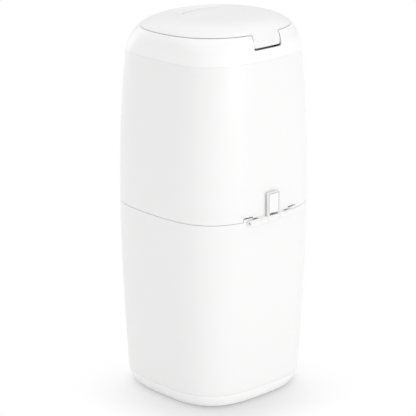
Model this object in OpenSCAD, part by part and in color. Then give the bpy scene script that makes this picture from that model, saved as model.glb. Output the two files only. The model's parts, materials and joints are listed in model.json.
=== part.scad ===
// Free-standing nappy bin: a lower bucket, a tilting upper half and a hinged lid,
// with a film cassette, a sprung clamp, a film cutter and a front release catch inside.
// Millimetres. +Z is up, the front is -Y, the hinges are at the rear, +Y.
// The origin is the centre of the base, on the floor.

/* [Body] */
// Width across the body at the seam
body_w = 242; // [234:1:264]
// Depth across the body at the seam, front to rear
body_d = 239.6; // [232:1:262]
// Squareness of the plan section; 2 is an ellipse
section_power = 3.1; // [2.8:0.1:3.6]
// Wall thickness of the moulded shells
wall = 2.8; // [2.2:0.1:3.4]
// Height of the seam between the two halves
seam_z = 283; // [250:1:320]
// Visible gap between the two halves
seam_gap = 0.6; // [0.5:0.1:1.5]
// Height of the shoulder line, where the top collar begins
shoulder_z = 508.4; // [490:0.1:560]
// Width across the body at the shoulder line
shoulder_w = 223.6; // [216:0.1:234]
// How late the upper half draws in towards the shoulder
upper_swell = 2.35; // [1.8:0.05:3]
// How late the lower half draws in towards the plinth
lower_swell = 1.75; // [1.4:0.05:2.4]

/* [Base] */
// Height of the top of the plinth above the floor
plinth_h = 21.2; // [18:0.1:30]
// Width across the top of the plinth
plinth_w = 223.4; // [216:0.1:234]
// Width across the plinth where it meets the floor
foot_w = 204.4; // [196:0.1:212]
// Roundness of the plinth's side
plinth_round = 1.6; // [1.2:0.1:2.4]
// Thickness of the bucket's floor
floor_t = 3; // [2:0.1:4]
// Height that the feet lift the plinth off the floor
foot_lift = 1.5; // [1:0.1:3]
// Radius of each foot
foot_r = 9; // [6:0.5:11]
// Distance of each foot from the middle, in X and in Y
foot_place = 66; // [60:1:70]
// Distance of each plinth screw from the middle, in X and in Y
plinth_screw_place = 44; // [30:1:48]

/* [Seam lip] */
// Height of the lip that stands up inside the upper half
lip_h = 6; // [4:0.5:8]
// Thickness of the lip
lip_t = 2.2; // [1.6:0.1:3]
// Clearance between the lip and the upper half
lip_clear = 0.6; // [0.5:0.1:1]

/* [Body hinge] */
// Radius of the hinge barrel
barrel_r = 4.15; // [3.6:0.05:5]
// Half length of the hinge barrel
barrel_half = 45.3; // [42:0.1:50]
// Distance of the hinge axis behind the rear wall
hinge_out = 3; // [2.6:0.1:4]
// Distance of the hinge axis below the seam
hinge_drop = 1.5; // [1:0.1:2.5]
// Half length of the strap's own knuckle
strap_knuckle_half = 11.8; // [10:0.1:13]
// Outer end of the upper half's knuckles
upper_knuckle_end = 25.4; // [22:0.1:28]
// Gap between neighbouring knuckles
knuckle_gap = 0.4; // [0.3:0.1:0.8]
// Radius of the hinge pins
pin_r = 1.6; // [1.4:0.1:2]
// Radial running clearance of every pin
pin_clear = 0.05; // [0.02:0.01:0.09]
// Radial clearance cut round each knuckle
knuckle_clear = 0.5; // [0.4:0.1:0.8]
// Depth that the hinge pin sits below the barrel's end faces
pin_recess = 1.8; // [1:0.1:3]
// Inner end of each hinge lug
lug_in = 35.8; // [34.6:0.1:37]
// Outer end of each hinge lug
lug_out = 50.7; // [48:0.1:54]
// Height of each hinge lug above the seam
lug_h = 4.2; // [3:0.1:5]
// Gap round each hinge lug
lug_gap = 0.8; // [0.5:0.1:1.2]
// Gap above each hinge lug
lug_top_gap = 1.8; // [1:0.1:2.4]

/* [Hinge strap] */
// Half width of the strap
strap_half = 11; // [9:0.1:11.6]
// Height of the strap's top above the seam
strap_h = 36.4; // [30:0.1:50]
// Thickness of the strap
strap_t = 4; // [3:0.1:4.4]
// Width of the fine groove round the strap's face
strap_groove = 1.3; // [0.4:0.1:1.6]
// Depth of that groove
strap_groove_depth = 2; // [0.8:0.1:2.2]
// Width of the border outside that groove
strap_border = 0.7; // [0.5:0.1:1]
// Height of the window between the strap and its knuckle
strap_window = 3.6; // [2:0.1:5]
// Width of the legs beside the window
strap_leg = 3; // [2:0.1:4]

/* [Dome] */
// Height of the crown above the shoulder line, at mid depth
dome_h = 49.4; // [45:0.1:60]
// How late the dome turns in; larger is boxier
dome_turn = 3; // [2.6:0.1:3.6]
// How flat the crown is
dome_flat = 5.8; // [5:0.1:7]
// Squareness of the plan section at the crown
crown_power = 2.05; // [2:0.05:2.6]
// Distance that the crown sits behind the middle
crown_shift = 5.7; // [3:0.1:7]
// Rise of the dome towards the rear, as a share of its height over half a width
dome_lean = 0.072; // [0:0.002:0.09]

/* [Lid] */
// Height of the lid's parting line above the shoulder, at mid depth
lid_rise = 35.4; // [33:0.1:38]
// Rise of the parting line per millimetre towards the rear
lid_slope = 0.023; // [0:0.001:0.03]
// Gap along the parting line
lid_gap = 0.7; // [0.6:0.1:1.4]
// Thickness of the lid shell
lid_t = 2.6; // [2:0.1:3]
// Half width of the lid's rear hinge tab
tab_half = 24.8; // [20:0.1:28]
// Height of the tab's lower edge above the shoulder
tab_rise = 20.3; // [17:0.1:21]
// Gap at each side of the tab
tab_side_gap = 1.5; // [0.8:0.1:2]
// Gap below the tab
tab_under_gap = 3.6; // [2:0.1:4]
// Distance of the tab's lower edge inside the collar's face
tab_in = 1.6; // [0:0.1:2]
// Distance of the lid hinge axis in front of the shoulder's rear face
lid_axis_in = 6.7; // [6:0.1:8]
// Height of the lid hinge axis above the shoulder
lid_axis_rise = 27.6; // [27:0.1:29]
// Radius of the lid's hinge barrel
lid_barrel_r = 4.6; // [4:0.1:5]
// Thickness of the collar's hinge ears
ear_t = 3.6; // [3:0.1:5]
// Half width of the finger scoop between its tips
scoop_half = 45; // [35:1:50]
// Distance of the scoop's tips in front of the middle
scoop_tip_y = 24; // [18:1:30]
// Distance that the scoop's crest bows forward of its tips
scoop_bow = 14; // [8:1:18]
// Depth of the scoop at its crest
scoop_depth = 4; // [2:0.5:5]
// Half length of the groove behind the scoop's crest
crest_groove_half = 36; // [24:1:44]
// Width of that groove
crest_groove_w = 3; // [1.4:0.1:3]
// Depth of that groove
crest_groove_depth = 1.8; // [0.8:0.1:1.8]

/* [Lid liner and seal] */
// Distance of the liner's edge inside the shoulder line
liner_in = 20.8; // [20:0.1:22]
// Thickness of the liner plate
liner_t = 2; // [1.6:0.1:2.6]
// Height of the liner's rib above its plate
liner_rib = 3; // [2:0.5:3.5]
// Height of the liner's underside above the shoulder
liner_rise = 32.8; // [32:0.1:34]
// Width of the lid seal
seal_w = 4.5; // [4:0.1:5]
// Distance of each liner screw from the middle, in X and in Y
liner_screw_place = 52; // [46:1:56]

/* [Collar] */
// Height of the lid ledge above the shoulder
ledge_rise = 29.6; // [29:0.1:30]
// Distance of the mouth's edge inside the shoulder line
mouth_in = 27.8; // [26:0.1:29.5]
// Squareness of the mouth
mouth_power = 2.6; // [2.2:0.1:3]
// Depth of the collar's spigot inside the upper half
spigot_h = 8.7; // [7:0.1:12]
// Radius of the finger recess under the lid's front edge
recess_r = 8; // [6:0.5:12]
// Depth of the finger recess
recess_depth = 1.6; // [1:0.1:1.8]
// Distance of each collar screw from the middle, in X and in Y
collar_screw_place = 76; // [73:0.5:78]

/* [Cassette] */
// Outer radius of the film cassette
cassette_r = 80; // [76:0.5:81]
// Inner radius of the film cassette
cassette_bore = 60; // [56:0.5:62]
// Height of the film cassette
cassette_h = 42; // [34:1:44]
// Wall thickness of the film cassette
cassette_t = 1.6; // [1.2:0.1:2.4]
// Number of pleats in the film pack
pleats = 60; // [36:1:90]
// Clearance round the cassette in its tray
cassette_clear = 4; // [2:0.5:5]
// Wall thickness of the tray
tray_t = 2.4; // [2:0.1:3]
// Depth of the tray's floor below its flange
tray_drop = 19; // [14:1:24]
// Radius of the throat below the cassette
throat_r = 57; // [52:0.5:59]
// Length of the throat below the tray's floor
throat_h = 8; // [5:0.5:10]

/* [Clamp] */
// Width of the clamp frame's plate
frame_w = 156; // [150:1:164]
// Depth of the clamp frame's plate
frame_d = 146; // [142:1:154]
// Thickness of the clamp frame's plate
frame_t = 4; // [3:0.5:6]
// Distance of each jaw's pivot inside the frame's edge
jaw_pivot_in = 12; // [9:0.5:15]
// Distance of the jaw pivots below the frame's plate
jaw_drop = 12; // [10:0.5:16]
// Half length of each jaw
jaw_half = 59; // [56:0.5:61]
// Thickness of each jaw
jaw_t = 5; // [4:0.5:6]
// Width of each jaw's soft lip
jaw_lip_w = 5; // [4:0.5:8]
// Gap between the two closed lips
jaw_gap = 0.6; // [0.4:0.1:1]
// Thickness of the frame's pivot ears
jaw_ear_t = 6; // [5:0.5:8]

/* [Cutter] */
// Length of the film cutter
cutter_l = 56; // [48:1:70]
// Height of the film cutter
cutter_h = 26; // [22:1:32]
// Thickness of the film cutter
cutter_t = 12; // [10:0.5:14]
// Width of the cutter's film slot
cutter_slot = 3.4; // [2.5:0.1:3.8]
// Height of the cutter's lower edge above the seam
cutter_rise = 70; // [60:1:90]

/* [Release catch] */
// Width of the release button
button_w = 32; // [26:1:40]
// Height of the release button
button_h = 16; // [12:1:18]
// Height of the button's middle above the seam
button_rise = 18; // [16:0.5:22]
// Travel of the button
button_travel = 4; // [3:0.5:5]
// Distance that the button stands proud of the wall
button_proud = 1.2; // [0.5:0.1:2]
// Clearance round the button
button_clear = 0.4; // [0.3:0.1:0.6]
// Height of the latch pivot above the button's middle
latch_arm = 16.5; // [15:0.5:20]
// Width of the latch hook
hook_w = 20; // [16:1:26]
// Thickness of the latch hook
hook_t = 4; // [3:0.5:5]
// Reach of the strike ledge inside the bucket's wall
strike_reach = 8; // [7:0.5:9]

/* [Hidden] */

shell_white = [0.94, 0.94, 0.94];
cap_white = [0.97, 0.97, 0.97];
trim_grey = [0.78, 0.79, 0.80];
inner_white = [0.88, 0.89, 0.90];
rubber_grey = [0.35, 0.36, 0.38];
film_blue = [0.62, 0.76, 0.86];
steel = [0.70, 0.71, 0.73];

segments = 60;           // points round each plan section
levels = 8;              // rings up each shell wall
round_fn = 48;           // facets on small round parts
part_gap = 0.2;          // gap between pieces that are fixed together
touch = 0.05;            // overlap that joins two shapes of one piece
reach = 400;             // longer than any piece, for cuts
depth_ratio = body_d / body_w;
half_w = body_w / 2;
rear_y = body_d / 2;     // rear wall at the seam

// ---- plan sections and lofts ----

function spow(v, e) = sign(v) * pow(abs(v), e);

function section_point(hw, hd, power, angle) =
    [hw * spow(cos(angle), 2 / power), hd * spow(sin(angle), 2 / power)];

function ring(hw, hd, power, z) =
    [for (i = [0 : segments - 1])
        let (p = section_point(hw, hd, power, 360 * i / segments))
        [p[0], p[1], z]];

function outline(hw, hd, power) =
    [for (i = [0 : segments - 1]) section_point(hw, hd, power, 360 * i / segments)];

// A solid through a list of rings: up the outside, then down the inside.
module loft(rings, closed = false) {
    n = len(rings[0]);
    m = len(rings);
    sides = [for (i = [0 : m - (closed ? 1 : 2)]) for (j = [0 : n - 1])
        [i * n + j, ((i + 1) % m) * n + j, ((i + 1) % m) * n + (j + 1) % n, i * n + (j + 1) % n]];
    caps = closed ? [] : [[for (j = [0 : n - 1]) j], [for (j = [n - 1 : -1 : 0]) (m - 1) * n + j]];
    polyhedron([for (r = rings) each r], concat(sides, caps), convexity = 8);
}

// ---- outer form of the body ----

function body_hw(z) = z < seam_z
    ? half_w - (half_w - plinth_w / 2) * pow((seam_z - z) / (seam_z - plinth_h), lower_swell)
    : half_w - (half_w - shoulder_w / 2) * pow((z - seam_z) / (shoulder_z - seam_z), upper_swell);

function body_ring(z, inset = 0) =
    ring(body_hw(z) - inset, body_hw(z) * depth_ratio - inset, section_power, z);

function wall_rings(z0, z1, inset) =
    [for (i = [0 : levels]) body_ring(z0 + (z1 - z0) * i / levels, inset)];

// Height on the rear wall's outer face, and its inner face
function rear_face(z) = body_hw(z) * depth_ratio;

// A band of the body's wall, for lugs that carry on its curve
module wall_band(z0, z1, inset0, inset1) {
    loft([body_ring(z0, inset0), body_ring(z1, inset0), body_ring(z1, inset1),
        body_ring(z0, inset1)], closed = true);
}

// ---- dome ----

dome_hw = shoulder_w / 2;
dome_hd = dome_hw * depth_ratio;
parting_z = shoulder_z + lid_rise;

function dome_section(t) = section_power + (crown_power - section_power) * t;

// A point on the dome at height share t; inset moves it inside the surface.
function dome_point(angle, t, inset) =
    let (s = pow(max(1 - pow(t, dome_turn), 0), 1 / dome_flat),
        p = section_point((dome_hw - inset) * s, (dome_hd - inset) * s, dome_section(t), angle),
        y = p[1] + crown_shift * t)
    [p[0], y, shoulder_z + (dome_h - inset) * t * (1 + dome_lean * y / half_w)];

// Height share at which the dome meets a sloping plane at height z on the middle
function plane_share(angle, z, slope, inset, t = 0.7, i = 0) = i == 9 ? t :
    let (p = dome_point(angle, t, inset))
    plane_share(angle, z, slope, inset,
        (z + slope * p[1] - shoulder_z) / ((dome_h - inset) * (1 + dome_lean * p[1] / half_w)), i + 1);

function dome_angles() = [for (i = [0 : segments - 1]) 360 * i / segments];

// Ring where the dome meets the sloping parting plane
function parting_ring(offset_z, inset) =
    [for (a = dome_angles())
        dome_point(a, plane_share(a, parting_z + offset_z, lid_slope, inset), inset)];

// Ring part of the way from the shoulder to the parting plane
function shoulder_ring(share, offset_z, inset) =
    [for (a = dome_angles())
        dome_point(a, share * plane_share(a, parting_z + offset_z, lid_slope, inset), inset)];

// Ring part of the way from the parting plane to the crown, as a share of the plan
function crown_ring(share, offset_z, inset) =
    [for (a = dome_angles())
        let (t0 = plane_share(a, parting_z + offset_z, lid_slope, inset),
            s = share * pow(1 - pow(t0, dome_turn), 1 / dome_flat))
        dome_point(a, pow(1 - pow(s, dome_flat), 1 / dome_turn), inset)];

crown_shares = [1, 0.985, 0.96, 0.92, 0.86, 0.76, 0.62, 0.46, 0.3, 0.15];

module lid_solid(offset_z, inset) {
    loft([for (s = crown_shares) crown_ring(s, offset_z, inset)]);
}

module flat_plate(hw, hd, power, z0, z1) {
    translate([0, 0, z0]) linear_extrude(z1 - z0) polygon(outline(hw, hd, power));
}

// ---- fasteners and springs ----

screw_r = 1.5;
screw_hole = screw_r + 0.05;
screw_pass = screw_r + 0.3;          // a hole that a screw passes through freely
head_r = 3.2;
head_h = 2;
collar_screw_l = 14;
liner_screw_l = 8;
screw_bite = 3.2;                    // length of a screw's thread in the boss behind a piece

// Pan-head screw with its head's seat at the origin and its shank along +Z
module screw(length, r = screw_r) {
    cylinder(r = r, h = length, $fn = round_fn);
    translate([0, 0, -head_h]) cylinder(r1 = head_r * 0.8, r2 = head_r, h = head_h, $fn = round_fn);
}

module at_corners(place) {
    for (x = [-1, 1]) for (y = [-1, 1]) translate([x * place, y * place, 0]) children();
}

module rod_x(x0, x1, y, z, r) {
    translate([x0, y, z]) rotate([0, 90, 0]) cylinder(r = r, h = x1 - x0, $fn = round_fn);
}

module rod_y(y0, y1, x, z, r) {
    translate([x, y1, z]) rotate([90, 0, 0]) cylinder(r = r, h = y1 - y0, $fn = round_fn);
}

module block(low, high) {
    translate(low) cube(high - low);
}

// Torsion spring along +Z: close-wound turns round a pin, and two legs
module torsion_spring(mean_r, wire_r, turns, leg, leg_angles) {
    for (i = [0 : turns - 1]) translate([0, 0, wire_r * (1 + 2 * i)])
        rotate_extrude($fn = round_fn) translate([mean_r, 0]) circle(r = wire_r + touch / 2, $fn = 16);
    for (k = [0, 1]) translate([0, 0, k * (turns - 1) * 2 * wire_r + wire_r])
        rotate([0, 0, leg_angles[k]]) translate([mean_r, 0, 0])
            rotate([-90, 0, 0]) cylinder(r = wire_r * 0.96, h = leg, $fn = 16);
}

// ---- base ----

plate_t = 3;
foot_recess = 1.2;
plinth_boss_r = 6.5;
plinth_boss_top = 10;
plinth_screw_r = 1.9;
plinth_seat = 6.5;
plinth_head_r = 3.8;
skirt_h = 9;
skirt_t = 2.4;
bucket_boss_r = 5;
skirt_hw = plinth_hw(plinth_h - skirt_h) - wall - part_gap;

function plinth_hw(z) = foot_w / 2
    + (plinth_w - foot_w) / 2 * (1 - pow(1 - z / plinth_h, plinth_round));

function plinth_ring(z, inset = 0) =
    ring(plinth_hw(z) - inset, plinth_hw(z) * depth_ratio - inset, section_power, z);

module plinth() {
    top = plinth_h - part_gap;
    plate_top = foot_lift + plate_t;
    color(cap_white)
    difference() {
        union() {
            loft(concat(
                [for (i = [0 : levels]) plinth_ring(foot_lift + (top - foot_lift) * i / levels)],
                [for (i = [levels : -2 : 0])
                    plinth_ring(plate_top + (top - plate_top) * i / levels, wall)]));
            at_corners(plinth_screw_place)
                translate([0, 0, plate_top - touch])
                    cylinder(r = plinth_boss_r, h = plinth_boss_top - plate_top + touch, $fn = round_fn);
        }
        at_corners(foot_place)
            translate([0, 0, foot_lift - 1])
                cylinder(r = foot_r + part_gap, h = foot_recess + 1, $fn = round_fn);
        at_corners(plinth_screw_place) {
            cylinder(r = plinth_screw_r + 0.3, h = plinth_boss_top + 1, $fn = round_fn);
            cylinder(r = plinth_head_r + 0.4, h = plinth_seat, $fn = round_fn);
        }
    }
}

module base_feet() {
    color(rubber_grey)
    at_corners(foot_place) cylinder(r = foot_r, h = foot_lift + foot_recess, $fn = round_fn);
}

module plinth_screws() {
    color(steel)
    at_corners(plinth_screw_place) {
        translate([0, 0, plinth_seat])
            cylinder(r = plinth_screw_r, h = plinth_h - plinth_seat - 3, $fn = round_fn);
        translate([0, 0, plinth_seat - 2.4]) cylinder(r = plinth_head_r, h = 2.4, $fn = round_fn);
    }
}

// ---- body hinge ----

hinge_y = rear_y + hinge_out;
hinge_z = seam_z - hinge_drop;
lower_rim = seam_z - seam_gap / 2;
upper_rim = seam_z + seam_gap / 2;
wall_hold = rear_y - wall + 0.2;     // inner limit of the blocks that root in the rear wall
lower_knuckle_in = upper_knuckle_end + knuckle_gap;
upper_knuckle_in = strap_knuckle_half + knuckle_gap;
lip_open_half = lug_out + 4;         // half width of the rear stretch that has no lip

module both_sides() {
    children();
    mirror([1, 0, 0]) children();
}

module body_hinge_bore() {
    rod_x(-reach / 2, reach / 2, hinge_y, hinge_z, pin_r + pin_clear);
}

module hinge_pin() {
    color(steel)
    rod_x(-barrel_half + pin_recess, barrel_half - pin_recess, hinge_y, hinge_z, pin_r);
}

// ---- lower bucket ----

floor_z = plinth_h + floor_t;
lip_root = seam_z - 10;
lip_out = wall + lip_clear;
strike_z = seam_z - 8;
strike_t = 4;
strike_half = 16;

module lower_bucket() {
    color(shell_white)
    difference() {
        union() {
            difference() {
                loft(concat(
                    [ring(skirt_hw - skirt_t, skirt_hw * depth_ratio - skirt_t, section_power, plinth_h),
                     ring(skirt_hw - skirt_t, skirt_hw * depth_ratio - skirt_t, section_power,
                         plinth_h - skirt_h),
                     ring(skirt_hw, skirt_hw * depth_ratio, section_power, plinth_h - skirt_h),
                     ring(skirt_hw, skirt_hw * depth_ratio, section_power, plinth_h)],
                    wall_rings(plinth_h, lower_rim, 0),
                    [body_ring(lower_rim, lip_out),
                     body_ring(seam_z + lip_h, lip_out),
                     body_ring(seam_z + lip_h, lip_out + lip_t),
                     body_ring(lip_root, lip_out + lip_t)],
                    wall_rings(lip_root - lip_t, floor_z, wall)));
                block([-lip_open_half, 0, lower_rim],
                    [lip_open_half, rear_y - wall, seam_z + lip_h + 1]);
            }
            both_sides() {
                rod_x(lower_knuckle_in, barrel_half, hinge_y, hinge_z, barrel_r);
                block([lower_knuckle_in, wall_hold, hinge_z - barrel_r],
                    [barrel_half, hinge_y, lower_rim]);
                intersection() {
                    wall_band(lower_rim - 4, seam_z + lug_h, 0, wall);
                    block([lug_in, 0, lower_rim - 2], [lug_out, reach, seam_z + lug_h + 1]);
                }
            }
            at_corners(plinth_screw_place)
                translate([0, 0, plinth_boss_top])
                    cylinder(r = bucket_boss_r, h = plinth_h + touch - plinth_boss_top, $fn = round_fn);
            block([-strike_half, -rear_y + wall - 1, strike_z],
                [strike_half, -rear_y + wall + strike_reach, strike_z + strike_t]);
        }
        body_hinge_bore();
        rod_x(-lower_knuckle_in, lower_knuckle_in, hinge_y, hinge_z, barrel_r + knuckle_clear);
        at_corners(plinth_screw_place)
            translate([0, 0, plinth_boss_top - 1])
                cylinder(r = plinth_screw_r + 0.05, h = plinth_h - plinth_boss_top, $fn = round_fn);
    }
}

// ---- upper housing ----

flange_t = 2.4;
ledge_z = shoulder_z - spigot_h - part_gap - flange_t;
ledge_w = 4;
ledge_t = 3;
strap_boss_z = [15, 29];             // heights of the strap's screws above the seam
strap_boss_r = 3.4;

button_z = seam_z + button_rise;
button_corner = 4;
latch_z = button_z + latch_arm;

cutter_z = seam_z + cutter_rise;
cutter_screw_y = 20;
cutter_boss_r = 4.5;
cutter_seat_x = body_hw(cutter_z) - wall - 3;

bracket_screw_x = 29;
bracket_screw_z = [button_z - 6, latch_z + 2];
bracket_boss_r = 4;
bracket_seat_y = -rear_face(button_z) + wall + 3;

// Rounded bar along Y with a rectangular section
module rounded_bar(w, h, corner, y0, y1, z) {
    block([-w / 2 + corner, y0, z - h / 2], [w / 2 - corner, y1, z + h / 2]);
    block([-w / 2, y0, z - h / 2 + corner], [w / 2, y1, z + h / 2 - corner]);
    for (x = [-1, 1]) for (s = [-1, 1])
        rod_y(y0, y1, x * (w / 2 - corner), z + s * (h / 2 - corner), corner);
}

module upper_housing() {
    color(shell_white)
    difference() {
        union() {
            loft(concat(
                wall_rings(upper_rim, shoulder_z - part_gap / 2, 0),
                wall_rings(shoulder_z - part_gap / 2, ledge_z, wall),
                [body_ring(ledge_z, wall + ledge_w),
                 body_ring(ledge_z - ledge_t, wall + ledge_w)],
                wall_rings(ledge_z - ledge_t - ledge_w, upper_rim, wall)), closed = true);
            both_sides() {
                rod_x(upper_knuckle_in, upper_knuckle_end, hinge_y, hinge_z, barrel_r);
                block([upper_knuckle_in, rear_y + knuckle_clear, hinge_z],
                    [upper_knuckle_end, hinge_y, hinge_z + barrel_r]);
                block([upper_knuckle_in, wall_hold, upper_rim],
                    [upper_knuckle_end, hinge_y, hinge_z + barrel_r]);
            }
            for (y = [-1, 1]) translate([cutter_seat_x, y * cutter_screw_y, cutter_z + cutter_h / 2])
                rotate([0, 90, 0]) cylinder(r = cutter_boss_r, h = wall + 1.6, $fn = round_fn);
            for (x = [-1, 1]) for (z = bracket_screw_z)
                rod_y(bracket_seat_y - wall - 1, bracket_seat_y, x * bracket_screw_x, z, bracket_boss_r);
        }
        body_hinge_bore();
        both_sides() {
            rod_x(upper_knuckle_end, reach, hinge_y, hinge_z, barrel_r + knuckle_clear);
            block([lug_in - lug_gap, 0, 0], [lug_out + lug_gap, reach, seam_z + lug_h + lug_top_gap]);
            block([upper_knuckle_end + knuckle_gap, rear_y - 2 * wall, 0],
                [lug_in - 2 * lug_gap, reach, seam_z + 3]);
        }
        rod_x(-upper_knuckle_in, upper_knuckle_in, hinge_y, hinge_z, barrel_r + knuckle_clear);
        block([-strap_half + strap_leg, 0, 0],
            [strap_half - strap_leg, reach, hinge_z + barrel_r + strap_window]);
        for (z = strap_boss_z)
            rod_y(0, reach, 0, seam_z + z, screw_pass);
        rounded_bar(button_w + 2 * button_clear, button_h + 2 * button_clear,
            button_corner + button_clear, -reach, 0, button_z);
        for (y = [-1, 1]) translate([cutter_seat_x - 1, y * cutter_screw_y, cutter_z + cutter_h / 2])
            rotate([0, 90, 0]) cylinder(r = screw_hole, h = 4.5, $fn = round_fn);
        for (x = [-1, 1]) for (z = bracket_screw_z)
            rod_y(bracket_seat_y - 3.6, bracket_seat_y + 1, x * bracket_screw_x, z, screw_hole);
    }
}

// ---- hinge strap ----

strap_face_y = hinge_y + barrel_r - 1;
strap_back_y = strap_face_y - strap_t;
strap_top = seam_z + strap_h;

// Groove just inside the two sides and the top of the strap's face
module strap_face_groove() {
    edge = strap_half - strap_border;
    top = strap_top - strap_border;
    low = hinge_z + barrel_r;
    difference() {
        block([-edge, strap_face_y - strap_groove_depth, low], [edge, strap_face_y + 1, top]);
        block([-edge + strap_groove, 0, low - 1], [edge - strap_groove, reach, top - strap_groove]);
    }
}

module hinge_strap() {
    color(shell_white)
    difference() {
        union() {
            rod_x(-strap_knuckle_half, strap_knuckle_half, hinge_y, hinge_z, barrel_r);
            block([-strap_half, strap_back_y, hinge_z], [strap_half, strap_face_y, strap_top]);
            for (z = strap_boss_z)
                rod_y(rear_face(seam_z + z) + part_gap, strap_back_y + touch, 0, seam_z + z,
                    strap_boss_r);
        }
        strap_face_groove();
        block([-strap_half + strap_leg, strap_back_y - 1, hinge_z + barrel_r + part_gap],
            [strap_half - strap_leg, strap_face_y + 1, hinge_z + barrel_r + strap_window]);
        body_hinge_bore();
        for (z = strap_boss_z)
            rod_y(0, strap_face_y - 1.2, 0, seam_z + z, screw_hole);
    }
}

module strap_screws() {
    color(steel)
    for (z = strap_boss_z)
        translate([0, rear_face(seam_z + z) - wall - part_gap, seam_z + z])
            rotate([-90, 0, 0]) screw(strap_face_y - 1.4 - rear_face(seam_z + z) + wall);
}

// ---- top collar ----

spigot_t = 2.4;
mouth_hw = dome_hw - mouth_in;
mouth_hd = dome_hd - mouth_in;
ledge_edge = 12.5;                   // distance of the ledge's outer edge inside the shoulder line
spigot_in = wall + part_gap;
ledge_top = shoulder_z + ledge_rise;
funnel_r = cassette_r + cassette_clear;
funnel_z = shoulder_z + 3.6;
lid_axis_y = dome_hd - lid_axis_in;
lid_axis_z = shoulder_z + lid_axis_rise;
tab_z = shoulder_z + tab_rise;
pocket_half = tab_half + tab_side_gap;
pocket_y = lid_axis_y - 12.5;
ear_in = pocket_half;
collar_boss_r = 5;
recess_half = 36;

// Shallow groove along X in the collar's front; it runs out where the front curves back
module finger_recess() {
    share = plane_share(270, parting_z, lid_slope, 0);
    high = dome_point(270, share, 0);
    low = dome_point(270, share * 0.8, 0);
    along = (high - low) / norm(high - low);
    out = recess_r - recess_depth;
    rod_x(-recess_half, recess_half, (high[1] + low[1]) / 2 - out * along[2],
        (high[2] + low[2]) / 2 + out * along[1], recess_r);
}

module top_collar() {
    rim_drop = lid_gap / 2;
    color(cap_white)
    difference() {
        union() {
            loft(concat(
                [for (s = [0 : 1 / levels : 0.999]) shoulder_ring(s, -rim_drop, 0)],
                [parting_ring(-rim_drop, 0),
                 parting_ring(-rim_drop, wall),
                 ring(dome_hw - ledge_edge, dome_hd - ledge_edge, dome_section(0.7), ledge_top),
                 ring(mouth_hw, mouth_hd, mouth_power, ledge_top),
                 ring(funnel_r, funnel_r, 2, funnel_z),
                 ring(funnel_r + tray_t, funnel_r + tray_t, 2, funnel_z),
                 ring(mouth_hw + wall, mouth_hd + wall, mouth_power, ledge_top - wall),
                 ring(dome_hw - ledge_edge - 2, dome_hd - ledge_edge - 2, dome_section(0.7),
                     ledge_top - wall),
                 shoulder_ring(0.8, -rim_drop, wall)],
                [for (s = [0.6 : -0.2 : 0.1]) shoulder_ring(s, -rim_drop, wall)],
                [body_ring(shoulder_z, spigot_in + spigot_t),
                 body_ring(shoulder_z - spigot_h, spigot_in + spigot_t),
                 body_ring(shoulder_z - spigot_h, spigot_in),
                 body_ring(shoulder_z, spigot_in)]), closed = true);
            both_sides() {
                rod_x(ear_in, ear_in + ear_t, lid_axis_y, lid_axis_z, lid_barrel_r);
                block([ear_in, lid_axis_y, lid_axis_z - lid_barrel_r],
                    [ear_in + ear_t, dome_hd - wall, lid_axis_z + lid_barrel_r]);
            }
            at_corners(collar_screw_place)
                translate([0, 0, shoulder_z - spigot_h])
                    cylinder(r = collar_boss_r, h = spigot_h + ledge_rise - wall / 2, $fn = round_fn);
        }
        block([-pocket_half, pocket_y, tab_z - tab_under_gap], [pocket_half, reach, reach * 2]);
        rod_x(-ear_in - ear_t - 1, ear_in + ear_t + 1, lid_axis_y, lid_axis_z, pin_r + pin_clear);
        finger_recess();
        at_corners(collar_screw_place)
            translate([0, 0, shoulder_z - spigot_h - 1])
                cylinder(r = screw_hole, h = collar_screw_l + 1, $fn = round_fn);
    }
}

module collar_screws() {
    color(steel)
    at_corners(collar_screw_place)
        translate([0, 0, shoulder_z - spigot_h - part_gap - flange_t]) screw(collar_screw_l);
}

// ---- lid ----

scoop_arc_r = (pow(scoop_half, 2) + pow(scoop_bow, 2)) / (2 * scoop_bow);
scoop_arc_y = -scoop_tip_y - scoop_bow + scoop_arc_r;
liner_boss_r = 4;
scoop_r = (pow(scoop_half, 2) + pow(scoop_depth, 2)) / (2 * scoop_depth);

// Height of the crown's surface on the middle line, at distance y from the middle
function crown_z(y) =
    let (s = (crown_shift - y) / dome_hd)
    dome_point(270, pow(1 - pow(s, dome_flat), 1 / dome_turn), 0)[2];

scoop_tilt = atan((crown_z(-scoop_tip_y) - crown_z(-scoop_tip_y - scoop_half)) / scoop_half);

// Shallow bowl that the scoop is part of; grow makes it deeper and wider
module scoop_bowl(grow) {
    translate([0, -scoop_tip_y, crown_z(-scoop_tip_y)])
        rotate([scoop_tilt, 0, 0])
            translate([0, 0, scoop_r - scoop_depth]) sphere(r = scoop_r + grow, $fn = 180);
}

// The scoop lies in front of its crest; grow widens it
module scoop(grow) {
    difference() {
        scoop_bowl(grow);
        translate([0, scoop_arc_y, shoulder_z - 1])
            cylinder(r = scoop_arc_r - grow, h = 4 * dome_h, $fn = 128);
    }
}

crest_lip = 1.2;                     // between the scoop's crest and its groove

module crest_groove() {
    outer = scoop_arc_r - crest_lip;
    translate([0, scoop_arc_y, crown_z(-scoop_tip_y - scoop_bow) - crest_groove_depth])
        intersection() {
            difference() {
                cylinder(r = outer, h = dome_h, $fn = 128);
                translate([0, 0, -1])
                    cylinder(r = outer - crest_groove_w, h = dome_h + 2, $fn = 128);
            }
            block([-crest_groove_half, -reach, 0], [crest_groove_half, 0, dome_h]);
        }
}

// The tab leans in towards its lower edge; s is the share of the way up to the parting line
function tab_inset(s) = touch + tab_in * (1 - s) * lid_rise / (lid_rise - tab_rise);

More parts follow.
